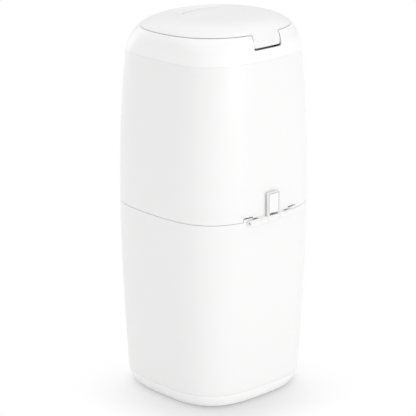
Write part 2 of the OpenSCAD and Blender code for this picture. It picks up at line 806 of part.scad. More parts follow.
module lid() {
    rim_lift = lid_gap / 2;
    liner_top = shoulder_z + liner_rise + liner_t;
    color(shell_white)
    difference() {
        union() {
            difference() {
                lid_solid(rim_lift, 0);
                lid_solid(rim_lift - lid_t, lid_t);
            }
            intersection() {
                loft(concat(
                    [for (s = [0.3 : 0.1 : 0.95]) shoulder_ring(s, rim_lift, tab_inset(s))],
                    [parting_ring(rim_lift, touch), parting_ring(rim_lift + 2, touch),
                     parting_ring(rim_lift + 2, lid_t), parting_ring(rim_lift, lid_t)],
                    [for (s = [0.9 : -0.1 : 0.25]) shoulder_ring(s, rim_lift, tab_inset(s) + lid_t)]),
                    closed = true);
                block([-tab_half, 0, tab_z], [tab_half, reach, 2 * reach]);
            }
            rod_x(-tab_half + 0.4, tab_half - 0.4, lid_axis_y, lid_axis_z, lid_barrel_r);
            block([-tab_half + 0.4, lid_axis_y, lid_axis_z - lid_barrel_r],
                [tab_half - 0.4, dome_hd - lid_t + 0.5, lid_axis_z + lid_barrel_r]);
            intersection() {
                lid_solid(rim_lift, lid_t / 2);
                union() {
                    at_corners(liner_screw_place)
                        translate([0, 0, liner_top + part_gap])
                            cylinder(r = liner_boss_r, h = dome_h, $fn = round_fn);
                    scoop(lid_t);
                }
            }
        }
        scoop(0);
        crest_groove();
        rod_x(-reach / 2, reach / 2, lid_axis_y, lid_axis_z, pin_r + pin_clear);
        at_corners(liner_screw_place)
            translate([0, 0, liner_top])
                cylinder(r = screw_hole, h = liner_screw_l - 1.5, $fn = round_fn);
    }
}

module lid_hinge_pin() {
    color(steel)
    rod_x(-ear_in - ear_t, ear_in + ear_t, lid_axis_y, lid_axis_z, pin_r);
}

liner_rib_in = 4.5;                  // distance of the liner's rib inside its edge

module liner_shape(inset, z0, z1) {
    flat_plate(dome_hw - liner_in - inset, dome_hd - liner_in - inset, dome_section(0.7), z0, z1);
}

module lid_liner() {
    z0 = shoulder_z + liner_rise;
    z1 = z0 + liner_t;
    color(inner_white)
    difference() {
        union() {
            liner_shape(0, z0, z1);
            difference() {
                liner_shape(liner_rib_in, z1 - touch, z1 + liner_rib);
                liner_shape(liner_rib_in + liner_t, z0, z1 + liner_rib + 1);
            }
        }
        at_corners(liner_screw_place)
            translate([0, 0, z0 - 1]) cylinder(r = screw_pass, h = liner_t + 2, $fn = round_fn);
    }
}

module liner_screws() {
    color(steel)
    at_corners(liner_screw_place) translate([0, 0, shoulder_z + liner_rise]) screw(liner_screw_l);
}

seal_edge = seal_w + 1;              // distance of the seal's outer edge outside the mouth
seal_gap = 0.3;                      // gap between the seal and the ledge

module lid_seal() {
    top = shoulder_z + liner_rise;
    color(rubber_grey)
    difference() {
        flat_plate(mouth_hw + seal_edge, mouth_hd + seal_edge, mouth_power, ledge_top + seal_gap, top);
        flat_plate(mouth_hw + 1, mouth_hd + 1, mouth_power, ledge_top - 1, top + 1);
    }
}

// ---- cassette tray ----

flange_z = ledge_z;
tray_floor = flange_z - tray_drop;
throat_bottom = tray_floor - tray_t - throat_h;
flange_hw = body_hw(flange_z + flange_t) - wall - part_gap;
flange_hd = body_hw(flange_z + flange_t) * depth_ratio - wall - part_gap;

module cassette_tray() {
    inner = funnel_r;
    outer = funnel_r + tray_t;
    color(inner_white)
    difference() {
        union() {
            difference() {
                flat_plate(flange_hw, flange_hd, section_power, flange_z, flange_z + flange_t);
                translate([0, 0, flange_z - 1]) cylinder(r = inner + 1, h = flange_t + 2, $fn = 120);
            }
            rotate_extrude($fn = 120)
                polygon([[throat_r, throat_bottom], [throat_r + tray_t, throat_bottom],
                    [throat_r + tray_t, tray_floor - tray_t], [outer, tray_floor - tray_t],
                    [outer, funnel_z - part_gap], [inner, funnel_z - part_gap],
                    [inner, tray_floor], [throat_r, tray_floor]]);
        }
        at_corners(collar_screw_place)
            translate([0, 0, flange_z - 1]) cylinder(r = screw_pass, h = flange_t + 2, $fn = round_fn);
        clamp_screw_places() cylinder(r = screw_hole, h = 30, center = true, $fn = round_fn);
    }
}

// ---- film cassette ----

cassette_z = tray_floor + part_gap;
cap_h = 4;
film_slot = 2.4;
film_t = 0.6;

module film_cassette() {
    t = cassette_t;
    top = cassette_z + cassette_h - cap_h;
    color(trim_grey)
    rotate_extrude($fn = 120)
        polygon([[cassette_bore, cassette_z], [cassette_r, cassette_z], [cassette_r, top],
            [cassette_r - t, top], [cassette_r - t, cassette_z + t],
            [cassette_bore + t, cassette_z + t], [cassette_bore + t, top - film_slot],
            [cassette_bore, top - film_slot]]);
}

module cassette_cap() {
    t = cassette_t;
    z0 = cassette_z + cassette_h - cap_h;
    color(inner_white)
    rotate_extrude($fn = 120)
        polygon([[cassette_r, z0 + part_gap], [cassette_r, z0 + cap_h - 1], [cassette_r - 1, z0 + cap_h],
            [cassette_bore + 1, z0 + cap_h], [cassette_bore, z0 + cap_h - 1], [cassette_bore, z0 + 1],
            [cassette_bore + t, z0 + 1], [cassette_bore + t, z0 + cap_h - t],
            [cassette_r - t, z0 + cap_h - t], [cassette_r - t, z0 + part_gap]]);
}

// Pleated ring of stored film
module film_pack() {
    inner = cassette_bore + cassette_t + 1;
    outer = cassette_r - cassette_t - 1;
    depth = 1.6;
    z0 = cassette_z + cassette_t + part_gap;
    color(film_blue)
    translate([0, 0, z0])
        linear_extrude(cassette_h - cap_h - film_slot - cassette_t - 3)
            difference() {
                polygon([for (i = [0 : 2 * pleats - 1])
                    let (r = outer - depth * (i % 2), a = 180 * i / pleats) [r * cos(a), r * sin(a)]]);
                polygon([for (i = [0 : 2 * pleats - 1])
                    let (r = inner + depth * (i % 2), a = 180 * i / pleats) [r * cos(a), r * sin(a)]]);
            }
}

// Film drawn from the cassette's slot and down through the throat
module film_sleeve() {
    slot_z = cassette_z + cassette_h - cap_h - film_slot / 2;
    r_top = cassette_bore - 0.4;
    r_low = throat_r - 1.4;
    low = throat_bottom - 1.5;
    color(film_blue)
    rotate_extrude($fn = 120)
        polygon([[r_low - film_t, low], [r_low, low], [r_low, tray_floor], [r_top, tray_floor + 8],
            [r_top, slot_z - film_t], [cassette_bore + cassette_t + 3, slot_z - film_t],
            [cassette_bore + cassette_t + 3, slot_z], [r_top - film_t, slot_z],
            [r_top - film_t, tray_floor + 8], [r_low - film_t, tray_floor]]);
}

// ---- clamp ----

frame_top = tray_floor - tray_t - part_gap;
frame_low = frame_top - frame_t;
jaw_pivot_x = frame_w / 2 - jaw_pivot_in;
jaw_z = frame_low - jaw_drop;
ear_y = jaw_half + 1;
jaw_hub_r = 5;
ear_room = 5.8;                      // from the pivot ears to the clamp screws' heads
spring_pocket = 12;
jaw_spring_r = 3;
jaw_wire_r = 0.5;
jaw_spring_turns = 8;

clamp_screw_x = jaw_pivot_x - jaw_hub_r - head_r - ear_room;
jaw_rib_y = jaw_half * 0.68;
jaw_rib_t = 2.4;
jaw_rib_h = 3;

module clamp_screw_places() {
    for (y = [-1, 1]) for (x = [-1, 1])
        translate([x * clamp_screw_x, y * ear_y, tray_floor - tray_t / 2]) children();
}

module clamp_frame() {
    color(inner_white)
    difference() {
        union() {
            block([-frame_w / 2, -frame_d / 2, frame_low], [frame_w / 2, frame_d / 2, frame_top]);
            for (x = [-1, 1]) for (y = [-1, 1]) {
                rod_y(y > 0 ? ear_y : -ear_y - jaw_ear_t, y > 0 ? ear_y + jaw_ear_t : -ear_y,
                    x * jaw_pivot_x, jaw_z, jaw_hub_r);
                block([x * jaw_pivot_x - jaw_hub_r, y > 0 ? ear_y : -ear_y - jaw_ear_t, jaw_z],
                    [x * jaw_pivot_x + jaw_hub_r, y > 0 ? ear_y + jaw_ear_t : -ear_y,
                        frame_low + touch]);
            }
        }
        translate([0, 0, frame_low - 1])
            cylinder(r = throat_r + tray_t + part_gap, h = frame_t + 2, $fn = 120);
        for (x = [-1, 1]) rod_y(-reach / 2, reach / 2, x * jaw_pivot_x, jaw_z, pin_r + pin_clear);
        clamp_screw_places() cylinder(r = screw_pass, h = reach, center = true, $fn = round_fn);
    }
}

module clamp_screws() {
    color(steel)
    clamp_screw_places() translate([0, 0, frame_low - tray_floor + tray_t / 2])
        screw(frame_t + part_gap + tray_t - 0.4);
}

module jaw() {
    tip = jaw_gap / 2 + jaw_lip_w;
    difference() {
        union() {
            block([-jaw_pivot_x, -jaw_half, jaw_z - jaw_t / 2], [-tip, jaw_half, jaw_z + jaw_t / 2]);
            rod_y(-jaw_half, jaw_half, -jaw_pivot_x, jaw_z, jaw_hub_r);
            for (y = [-jaw_rib_y, 0, jaw_rib_y])
                block([-jaw_pivot_x, y - jaw_rib_t / 2, jaw_z - jaw_t / 2 - jaw_rib_h],
                    [-tip - jaw_lip_w, y + jaw_rib_t / 2, jaw_z]);
        }
        rod_y(-reach / 2, reach / 2, -jaw_pivot_x, jaw_z, pin_r + pin_clear);
        block([-jaw_pivot_x - jaw_hub_r - 1, -spring_pocket / 2, jaw_z - jaw_hub_r - 1],
            [-jaw_pivot_x + jaw_hub_r + 1, spring_pocket / 2, jaw_z + jaw_hub_r + 1]);
    }
}

module jaw_lip() {
    block([-jaw_gap / 2 - jaw_lip_w, -jaw_half, jaw_z - jaw_t / 2 + 0.5],
        [-jaw_gap / 2, jaw_half, jaw_z + jaw_t / 2 - 0.5]);
}

module jaw_pin() {
    rod_y(-ear_y - jaw_ear_t, ear_y + jaw_ear_t, -jaw_pivot_x, jaw_z, pin_r);
}

module jaw_spring() {
    translate([-jaw_pivot_x, -jaw_spring_turns * jaw_wire_r, jaw_z])
        rotate([-90, 0, 0])
            torsion_spring(jaw_spring_r, jaw_wire_r, jaw_spring_turns, 4.5, [180, -60]);
}

module clamp_jaw_left() { color(trim_grey) jaw(); }
module clamp_jaw_right() { color(trim_grey) mirror([1, 0, 0]) jaw(); }
module jaw_lip_left() { color(rubber_grey) jaw_lip(); }
module jaw_lip_right() { color(rubber_grey) mirror([1, 0, 0]) jaw_lip(); }
module jaw_pin_left() { color(steel) jaw_pin(); }
module jaw_pin_right() { color(steel) mirror([1, 0, 0]) jaw_pin(); }
module jaw_spring_left() { color(steel) jaw_spring(); }
module jaw_spring_right() { color(steel) mirror([1, 0, 0]) jaw_spring(); }

// ---- film cutter ----

cutter_x1 = cutter_seat_x - part_gap;
cutter_x0 = cutter_x1 - cutter_t;
blade_t = 0.6;

module cutter_body() {
    mid = (cutter_x0 + cutter_x1) / 2;
    color(trim_grey)
    difference() {
        block([cutter_x0, -cutter_l / 2, cutter_z], [cutter_x1, cutter_l / 2, cutter_z + cutter_h]);
        block([mid - cutter_slot / 2, -cutter_l / 2 + 12, cutter_z - 1],
            [mid + cutter_slot / 2, cutter_l / 2 + 1, cutter_z + cutter_h * 0.45]);
        block([cutter_x0 - 1, -8 - part_gap, cutter_z + cutter_h * 0.3],
            [cutter_x1 - 2, 8 + part_gap, cutter_z + cutter_h * 0.3 + blade_t + 2 * part_gap]);
        for (y = [-1, 1]) translate([cutter_x0 - 1, y * cutter_screw_y, cutter_z + cutter_h / 2])
            rotate([0, 90, 0]) {
                cylinder(r = screw_pass, h = cutter_t + 2, $fn = round_fn);
                cylinder(r = head_r + 0.3, h = head_h + 1.5, $fn = round_fn);
            }
    }
}

module cutter_blade() {
    z = cutter_z + cutter_h * 0.3 + part_gap;
    color(steel)
    block([cutter_x0 + 0.5, -8, z], [cutter_x1 - 2 - part_gap, 8, z + blade_t]);
}

module cutter_screws() {
    color(steel)
    for (y = [-1, 1]) translate([cutter_x0 + head_h + 0.5, y * cutter_screw_y, cutter_z + cutter_h / 2])
        rotate([0, 90, 0]) screw(cutter_t - head_h - 0.5 + screw_bite);
}

// ---- release catch ----

button_face_y = -rear_face(button_z) - button_proud;
button_stop_y = -rear_face(button_z) + wall + 0.4;
hook_front_y = button_stop_y + button_travel + 7;
hook_back_y = hook_front_y + hook_t;
hook_low = strike_z - 7;
strike_tip_y = -rear_y + wall + strike_reach;
nose_clear = 0.7;
bracket_t = 2.4;
cheek_in = hook_w / 2 + 1;
bracket_back_y = hook_back_y + 9;
latch_y = (hook_front_y + hook_back_y) / 2;
button_lip = 2.5;                    // how far the button's flange stands out behind the wall
flange_clear = 1.2;                  // room between that flange and the bracket
hook_hub_r = 4;
hook_slot = 6.8;                     // room for the spring in the hook's hub

module release_button() {
    color(shell_white)
    union() {
        rounded_bar(button_w, button_h, button_corner, button_face_y, button_stop_y + touch, button_z);
        rounded_bar(button_w + 2 * button_lip, button_h + 2 * button_lip, button_corner,
            button_stop_y, button_stop_y + 1.6, button_z);
        block([-7, button_stop_y + 1.6 - touch, button_z - 1], [7, hook_front_y - 1.4, button_z + 1]);
        rod_x(-7, 7, hook_front_y - 1.4, button_z, 1);
    }
}

module latch_hook() {
    color(trim_grey)
    difference() {
        union() {
            rod_x(-hook_w / 2, hook_w / 2, latch_y, latch_z, hook_hub_r);
            block([-hook_w / 2, hook_front_y, hook_low], [hook_w / 2, hook_back_y, latch_z]);
            block([-hook_w / 2, strike_tip_y + nose_clear, hook_low],
                [hook_w / 2, hook_back_y, strike_z - 1]);
        }
        rod_x(-reach / 2, reach / 2, latch_y, latch_z, pin_r + pin_clear);
        block([-hook_slot / 2, latch_y - hook_hub_r - 1, latch_z - hook_hub_r - 0.4],
            [hook_slot / 2, latch_y + hook_hub_r + 1, latch_z + hook_hub_r + 1]);
    }
}

module latch_pin() {
    color(steel)
    rod_x(-cheek_in - bracket_t, cheek_in + bracket_t, latch_y, latch_z, pin_r);
}

module latch_spring() {
    turns = 6;
    wire = 0.45;
    color(steel)
    translate([-turns * wire, latch_y, latch_z])
        rotate([0, 90, 0]) torsion_spring(2.6, wire, turns, 5, [100, 200]);
}

bracket_drop = 10;                   // below the button's middle
bracket_rise = 7;                    // above the latch's pivot

// Two side plates joined above the button's flange, two cheeks and a back
module latch_bracket() {
    low = button_z - bracket_drop;
    high = latch_z + bracket_rise;
    bridge = button_z + button_h / 2 + button_lip + flange_clear;
    front = bracket_seat_y + part_gap;
    outer = bracket_screw_x + 5;
    color(inner_white)
    difference() {
        union() {
            both_sides() {
                block([button_w / 2 + button_lip + flange_clear, front, low],
                    [outer, front + bracket_t, high]);
                block([cheek_in, front, bridge], [outer, front + bracket_t, high]);
                block([cheek_in, front, bridge], [cheek_in + bracket_t, bracket_back_y, high]);
            }
            block([-cheek_in - bracket_t, bracket_back_y - bracket_t, bridge],
                [cheek_in + bracket_t, bracket_back_y, high]);
        }
        rod_x(-reach / 2, reach / 2, latch_y, latch_z, pin_r + pin_clear);
        for (x = [-1, 1]) for (z = bracket_screw_z)
            rod_y(front - 1, front + bracket_t + 1, x * bracket_screw_x, z, screw_pass);
    }
}

module bracket_screws() {
    color(steel)
    for (x = [-1, 1]) for (z = bracket_screw_z)
        translate([x * bracket_screw_x, bracket_seat_y + part_gap + bracket_t, z])
            rotate([90, 0, 0]) screw(bracket_t + screw_bite);
}

plinth();
base_feet();
plinth_screws();
lower_bucket();
hinge_pin();
upper_housing();
hinge_strap();
strap_screws();
top_collar();
collar_screws();
lid();
lid_liner();
liner_screws();
lid_seal();
lid_hinge_pin();
cassette_tray();
film_cassette();
cassette_cap();
film_pack();
film_sleeve();
clamp_frame();
clamp_screws();
clamp_jaw_left();
clamp_jaw_right();
jaw_lip_left();
jaw_lip_right();
jaw_pin_left();
jaw_pin_right();
jaw_spring_left();
jaw_spring_right();
cutter_body();
cutter_blade();
cutter_screws();
release_button();
latch_bracket();
bracket_screws();
latch_hook();
latch_pin();
latch_spring();
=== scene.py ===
"""A nappy bin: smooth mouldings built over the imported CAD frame, in the same place and size."""

import json
import math

import bmesh
import bpy
import numpy as np
from mathutils import Matrix, Vector


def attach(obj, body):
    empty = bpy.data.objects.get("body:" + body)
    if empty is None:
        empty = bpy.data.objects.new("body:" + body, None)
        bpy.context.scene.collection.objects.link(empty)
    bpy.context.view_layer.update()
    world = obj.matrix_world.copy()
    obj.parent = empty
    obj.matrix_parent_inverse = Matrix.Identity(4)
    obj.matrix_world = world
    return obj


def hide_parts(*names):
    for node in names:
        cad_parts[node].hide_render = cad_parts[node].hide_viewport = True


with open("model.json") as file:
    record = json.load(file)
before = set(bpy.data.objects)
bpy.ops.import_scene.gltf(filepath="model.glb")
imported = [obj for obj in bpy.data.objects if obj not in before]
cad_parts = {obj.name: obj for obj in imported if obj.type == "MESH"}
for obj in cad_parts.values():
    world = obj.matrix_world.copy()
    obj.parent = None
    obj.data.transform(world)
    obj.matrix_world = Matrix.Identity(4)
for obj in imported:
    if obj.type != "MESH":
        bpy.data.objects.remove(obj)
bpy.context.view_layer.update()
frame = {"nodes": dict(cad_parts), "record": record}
nodes = frame["nodes"]

# ---- sizes in millimetres, as in the CAD source ----

MM = 0.001

# body and plinth: half widths, heights and the plan's squareness
HALF_W, REAR = 121.0, 119.8
RATIO = 239.6 / 242
POWER = 3.1
WALL = 2.8
SEAM = 283.0
LOWER_RIM, UPPER_RIM = 282.7, 283.3
SHOULDER = 508.4
BODY_FOOT_HW = 111.7
PLINTH_TOP, PLINTH_HW, PLINTH_FLARE = 21.2, 102.2, 9.5

# dome: it grows rounder, moves back and leans with height
DOME_HW = 111.8
DOME_HD = DOME_HW * RATIO
DOME_H = 49.4
DOME_ROUND, TOP_POWER = 5.8, 2.05
DOME_BACK, DOME_LEAN = 5.7, 0.072
PARTING, SLOPE = 543.8, 0.023
LID_GAP = 0.7
LID_WALL = 2.6

# main hinge: axis, barrel radius and the spans of the knuckles on either side
HINGE_Y, HINGE_Z, BARREL = 122.8, 281.5, 4.15
BUCKET_KNUCKLE, HOUSING_KNUCKLE = (25.8, 45.3), (12.2, 25.4)
BARREL_GAP = 0.5
STRAP_SCREWS = (SEAM + 15, SEAM + 29)

# lid hinge, the lid's tab and its pocket in the collar
LID_Y, LID_Z, LID_BARREL = DOME_HD - 6.7, 536.0, 4.6
TAB_HALF, TAB_Z, TAB_IN = 24.8, 528.7, 1.6
POCKET_HALF, POCKET_Z, POCKET_Y = 26.3, 525.1, DOME_HD - 19.2
TAB_CORNER = 3.0
EAR_T = 3.6

# mouth, ledge and finger scoop
LEDGE_Z = 497.1
MOUTH_HW, MOUTH_HD, MOUTH_POWER = DOME_HW - 27.8, DOME_HD - 27.8, 2.6
SCOOP_HALF, SCOOP_TIP, SCOOP_BOW = 45.0, 24.0, 14.0
CREST_Y = -SCOOP_TIP - SCOOP_BOW
CREST_R = (SCOOP_HALF**2 + SCOOP_BOW**2) / (2 * SCOOP_BOW)

# places of screws and feet, on the diagonals of the plan
BASE_SCREWS, FEET, LINER_SCREWS, COLLAR_SCREWS = 44, 66, 52, 76

# radii of the bores, the half length of the bores for pins, the rounded ends of knuckles and
# bosses, and how far a web stays inside the ends of the knuckle that it carries
PIN_BORE, SCREW_BORE, CLEARANCE_BORE = 1.65, 1.55, 1.8
PIN_REACH = 90
KNUCKLE_EDGE, BOSS_EDGE = 0.45, 0.3
SNUG = 0.02

# release button
BUTTON_Z = 301

# columns of points round each shell, a distance that no x can reach, and planes beyond the part
# where its cutters end
COLUMNS = 176
FAR = 1e6
BELOW, BEHIND, ABOVE = -5, 300, 700


# ---- plan sections ----


def superellipse(phi, a, b, p):
    r = (np.abs(np.cos(phi) / a) ** p + np.abs(np.sin(phi) / b) ** p) ** (-1 / p)
    return r * np.cos(phi), r * np.sin(phi)


def ring(phi, a, b, p, z):
    x, y = superellipse(phi, a, b, p)
    return np.stack([x, y, np.full_like(x, z)], -1)


def body_hw(z):
    """Half width of the body at height z; the two halves taper on curves of their own."""
    if z < SEAM:
        return HALF_W - (HALF_W - BODY_FOOT_HW) * ((SEAM - z) / (SEAM - PLINTH_TOP)) ** 1.75
    return HALF_W - (HALF_W - DOME_HW) * ((z - SEAM) / (SHOULDER - SEAM)) ** 2.35


def body_ring(phi, z, inset=0.0):
    return ring(phi, body_hw(z) - inset, body_hw(z) * RATIO - inset, POWER, z)


def plinth_hw(z):
    return PLINTH_HW + PLINTH_FLARE * (1 - (1 - z / PLINTH_TOP) ** 1.6)


def plinth_ring(phi, z, inset=0.0):
    a = plinth_hw(z)
    return ring(phi, a - inset, a * RATIO - inset, POWER, z)


def even_columns():
    """Evenly spaced directions round the plan, and the step between them."""
    return list(np.linspace(0, 2 * math.pi, COLUMNS, endpoint=False)), 2 * math.pi / COLUMNS


def columns(keys=()):
    """Even directions, with one at each given x of the rear wall in place of its neighbour."""
    base, step = even_columns()
    keyed = []
    for x in keys:
        y = REAR * (1 - abs(x / HALF_W) ** POWER) ** (1 / POWER)
        keyed += [math.atan2(y, x), math.atan2(y, -x)]
    base = [a for a in base if all(abs(a - k) > 0.45 * step for k in keyed)]
    return np.array(sorted(base + keyed))


def rear_x(phi):
    """Distance of each column from the middle of the rear wall, or FAR off that wall."""
    x, y = superellipse(phi, HALF_W, REAR, POWER)
    return np.abs(np.where(y > 0, x, FAR))


# ---- dome ----


def width_at(t):
    """Share of the dome's full width at height share t."""
    return np.maximum(1 - t**3, 0) ** (1 / DOME_ROUND)


def height_at(s):
    """Height share at which the dome has the share s of its width."""
    return (1 - s**DOME_ROUND) ** (1 / 3)


def dome_section(phi, t, inset):
    s = width_at(t)
    p = POWER + (TOP_POWER - POWER) * t
    return (DOME_HW - inset) * s, (DOME_HD - inset) * s, p


def dome(phi, t, inset=0.0, keep_x=None, hold=None):
    """Points of the dome at height share t. Where hold is 1 a column keeps its x."""
    a, b, p = dome_section(phi, t, inset)
    if keep_x is not None:
        u = np.clip(np.abs(keep_x) / a, 0, 0.999)
        held = np.arctan2(b * (1 - u**p) ** (1 / p), keep_x)
        phi = np.where(hold > 0, phi * (1 - hold) + held * hold, phi)
    x, y = superellipse(phi, a, b, p)
    y = y + DOME_BACK * t
    z = SHOULDER + (DOME_H - inset) * t * (1 + DOME_LEAN * y / HALF_W)
    return np.stack([x, y, z], -1)


def share_at(phi, z, slope, inset=0.0, keep_x=None, hold=None):
    """Height share at which the dome meets the plane z + slope * y."""
    t = np.full_like(phi, 0.6)
    for _ in range(30):
        y = dome(phi, t, inset, keep_x, hold)[:, 1]
        rise = z + slope * y - SHOULDER
        target = rise / ((DOME_H - inset) * (1 + DOME_LEAN * y / HALF_W))
        t = 0.5 * t + 0.5 * np.clip(target, 0, 0.999)
    return t


def crown_height(y):
    """Height of the dome on its middle line, in front of its top."""
    t = np.array([height_at((DOME_BACK - y) / DOME_HD)])
    return float(dome(np.array([1.5 * math.pi]), t)[0][2])


def dome_columns(keys, plane):
    """Directions about each ring's own centre, with one at each given x of the parting line.

    Also gives the x of each column there, and how firmly it keeps that x over the dome.
    """
    base, step = even_columns()
    keyed = []
    for x in [v for k in keys for v in (k, -k)]:
        phi = np.array([math.atan2(DOME_HD, x)])
        for _ in range(12):
            t = share_at(phi, plane, SLOPE)
            a, b, p = dome_section(phi, t, 0.0)
            phi = np.arctan2(b * (1 - np.abs(x / a) ** p) ** (1 / p), np.full_like(a, x))
        keyed.append(float(phi[0]))
    base = [a for a in base if all(abs(a - k) > 0.3 * step for k in keyed)]
    phi = np.array(sorted(base + keyed))
    at = dome(phi, share_at(phi, plane, SLOPE))
    x = np.where(np.sin(phi) > 0, at[:, 0], FAR)
    full, none = 27.0, 75
    w = np.clip((none - np.abs(x)) / (none - full), 0, 1)
    return phi, x, w * w * (3 - 2 * w)


def tab_keys(half):
    """Places in x of the columns that follow a rounded corner of the tab or of its pocket."""
    return half - 3, half - 1.8, half - 0.9, half - 0.3, half


def corner_rise(x, half, radius=TAB_CORNER):
    """How far a straight lower edge has risen at x, with a rounded corner at half."""
    u = np.clip(np.abs(x) - (half - radius), 0, radius)
    return radius - np.sqrt(radius**2 - u**2)


def arc_in(r, steps=5):
    """(height, inset) pairs up a rounded edge that starts a wall."""
    turns = np.linspace(0, math.pi / 2, steps)
    return [(r * (1 - math.cos(a)), r * (1 - math.sin(a))) for a in turns]


def lerp(a, b, k):
    return a + (b - a) * k


# ---- mesh building ----


def new_object(name, bm):
    mesh = bpy.data.meshes.new(name)
    bm.to_mesh(mesh)
    bm.free()
    obj = bpy.data.objects.new(name, mesh)
    bpy.context.scene.collection.objects.link(obj)
    return obj


def from_lists(name, verts, faces):
    """An object from points in millimetres; faces drop their repeated corners."""
    bm = bmesh.new()
    vs = [bm.verts.new(Vector(v) * MM) for v in verts]
    for f in faces:
        distinct = [vs[i] for i in dict.fromkeys(f)]
        if len(distinct) > 2:
            bm.faces.new(distinct)
    loose = [v for v in bm.verts if not v.link_faces]
    bmesh.ops.delete(bm, geom=loose, context="VERTS")
    bmesh.ops.recalc_face_normals(bm, faces=bm.faces)
    return new_object(name, bm)


def loft(rings, closed=False):
    """A solid through rings of points; closed joins the last ring to the first."""
    n, m = len(rings[0]), len(rings)
    verts = np.concatenate(rings)
    faces = []
    for i in range(m if closed else m - 1):
        row, above = i * n, ((i + 1) % m) * n
        for j in range(n):
            k = (j + 1) % n
            faces.append((row + j, row + k, above + k, above + j))
    if not closed:
        faces.append(tuple(reversed(range(n))))
        faces.append(tuple((m - 1) * n + j for j in range(n)))
    return from_lists("loft", verts, faces)


def shell(outer, inner, keep, pole=False):
    """A closed skin between two grids of points; keep[i][j] says which cells are there."""
    m, n = outer.shape[:2]
    verts = np.concatenate([outer.reshape(-1, 3), inner.reshape(-1, 3)])
    half = m * n

    def cell(i, j):
        return 0 <= i < m - 1 and keep[i][j % n]

    faces = []
    for i in range(m - 1):
        for j in range(n):
            if not keep[i][j]:
                continue
            k = (j + 1) % n
            a, b, c, d = i * n + j, i * n + k, (i + 1) * n + k, (i + 1) * n + j
            faces.append((a, b, c, d))
            faces.append((half + d, half + c, half + b, half + a))
            if not cell(i - 1, j):
                faces.append((b, a, half + a, half + b))
            if not cell(i + 1, j) and not (pole and i == m - 2):
                faces.append((d, c, half + c, half + d))
            if not cell(i, j - 1):
                faces.append((a, d, half + d, half + a))
            if not cell(i, j + 1):
                faces.append((c, b, half + b, half + c))
    if pole:
        top = (m - 1) * n
        faces.append(tuple(top + j for j in range(n)))
        faces.append(tuple(half + top + j for j in reversed(range(n))))
    return from_lists("shell", verts, faces)


def soften(bm, edges, width, segments=3):
    """Rounds edges by a width in millimetres."""
    bmesh.ops.bevel(
        bm,
        geom=list(edges),
        offset=width * MM,
        segments=segments,
        affect="EDGES",
        profile=0.5,
        clamp_overlap=True,
    )


def soften_object(obj, width, segments=3, in_front_of=None):
    """Rounds the square edges of a finished shape, or only those in front of a given y."""
    bm = bmesh.new()
    bm.from_mesh(obj.data)
    square = [e for e in bm.edges if e.calc_face_angle(0) > 1.2]
    if in_front_of is not None:
        square = [e for e in square if all(v.co.y < in_front_of * MM for v in e.verts)]
    soften(bm, square, width, segments)
    bm.to_mesh(obj.data)
    bm.free()


def block(low, high, round_all=0.0, round_y=0.0):
    """A box; round_y rounds its four edges along Y, round_all then softens every edge."""
    bm = bmesh.new()
    bmesh.ops.create_cube(bm, size=1)
    low, high = Vector(low), Vector(high)
    for v in bm.verts:
        v.co = Vector((a + b) / 2 + at * (b - a) for a, b, at in zip(low, high, v.co)) * MM
    if round_y:
        along = [e for e in bm.edges if abs((e.verts[0].co - e.verts[1].co).normalized().y) > 0.9]
        soften(bm, along, round_y, 6)
    if round_all:
        soften(bm, [e for e in bm.edges if e.calc_face_angle(0) > 0.7], round_all)
    return new_object("block", bm)


def turned(profile, centre, axis="Z", steps=64):
    """A solid of revolution from (radius, height) pairs, first and last on the axis."""
    verts, rows = [], []
    for r, h in profile:
        row = []
        for k in range(steps if r > 0 else 1):
            a = 2 * math.pi * k / steps
            u, v = r * math.cos(a), r * math.sin(a)
            p = {"Z": (u, v, h), "X": (h, u, v), "Y": (v, h, u)}[axis]
            row.append(len(verts))
            verts.append([p[i] + centre[i] for i in range(3)])
        rows.append(row if len(row) > 1 else row * steps)
    faces = []
    for lower, upper in zip(rows, rows[1:]):
        for k in range(steps):
            n = (k + 1) % steps
            faces.append((lower[k], lower[n], upper[n], upper[k]))
    return from_lists("turned", verts, faces)


def rod(r, start, end, centre, axis="X", edge=0.0, steps=64):
    """A cylinder between two places on its axis, with its end edges rounded by edge."""
    arc = [(r, 0)]
    if edge:
        turns = np.linspace(0, math.pi / 2, 4)
        arc = [(r - edge + edge * math.sin(a), edge - edge * math.cos(a)) for a in turns]
    low = [(radius, start + h) for radius, h in arc]
    high = [(radius, end - h) for radius, h in reversed(arc)]
    return turned([(0, start), *low, *high, (0, end)], centre, axis, steps)


def post(r, low, high, place, edge=0.0):
    """An upright rod at a place in the plan."""
    return rod(r, low, high, (*place, 0), "Z", edge)


def hinge_rod(r, start, end, edge=0.0):
    """A rod on the axis of the main hinge."""
    return rod(r, start, end, (0, HINGE_Y, HINGE_Z), "X", edge)


def lid_hinge_rod(r, start, end, edge=0.0):
    """A rod on the axis of the lid's hinge."""
    return rod(r, start, end, (0, LID_Y, LID_Z), "X", edge)


def settle(obj):
    """Applies the object's modifiers."""
    graph = bpy.context.evaluated_depsgraph_get()
    mesh = bpy.data.meshes.new_from_object(obj.evaluated_get(graph))
    old = obj.data
    obj.modifiers.clear()
    obj.data = mesh
    bpy.data.meshes.remove(old)


def combine(base, others, operation):
    """Applies each other shape to base in turn, and removes it."""
    for other in others:
        mod = base.modifiers.new("csg", "BOOLEAN")
        mod.operation = operation
        mod.solver = "MANIFOLD"
        mod.object = other
        settle(base)
        bpy.data.objects.remove(other)
    return base


def join(base, *others):
    return combine(base, others, "UNION")


def cut(base, *others):
    return combine(base, others, "DIFFERENCE")


def overlap(base, *others):
    return combine(base, others, "INTERSECT")


def smooth(mesh, angle=34):
    """Smooth shading, with a hard line at every edge sharper than angle."""
    mesh.shade_smooth()
    mesh.set_sharp_from_angle(angle=math.radians(angle))


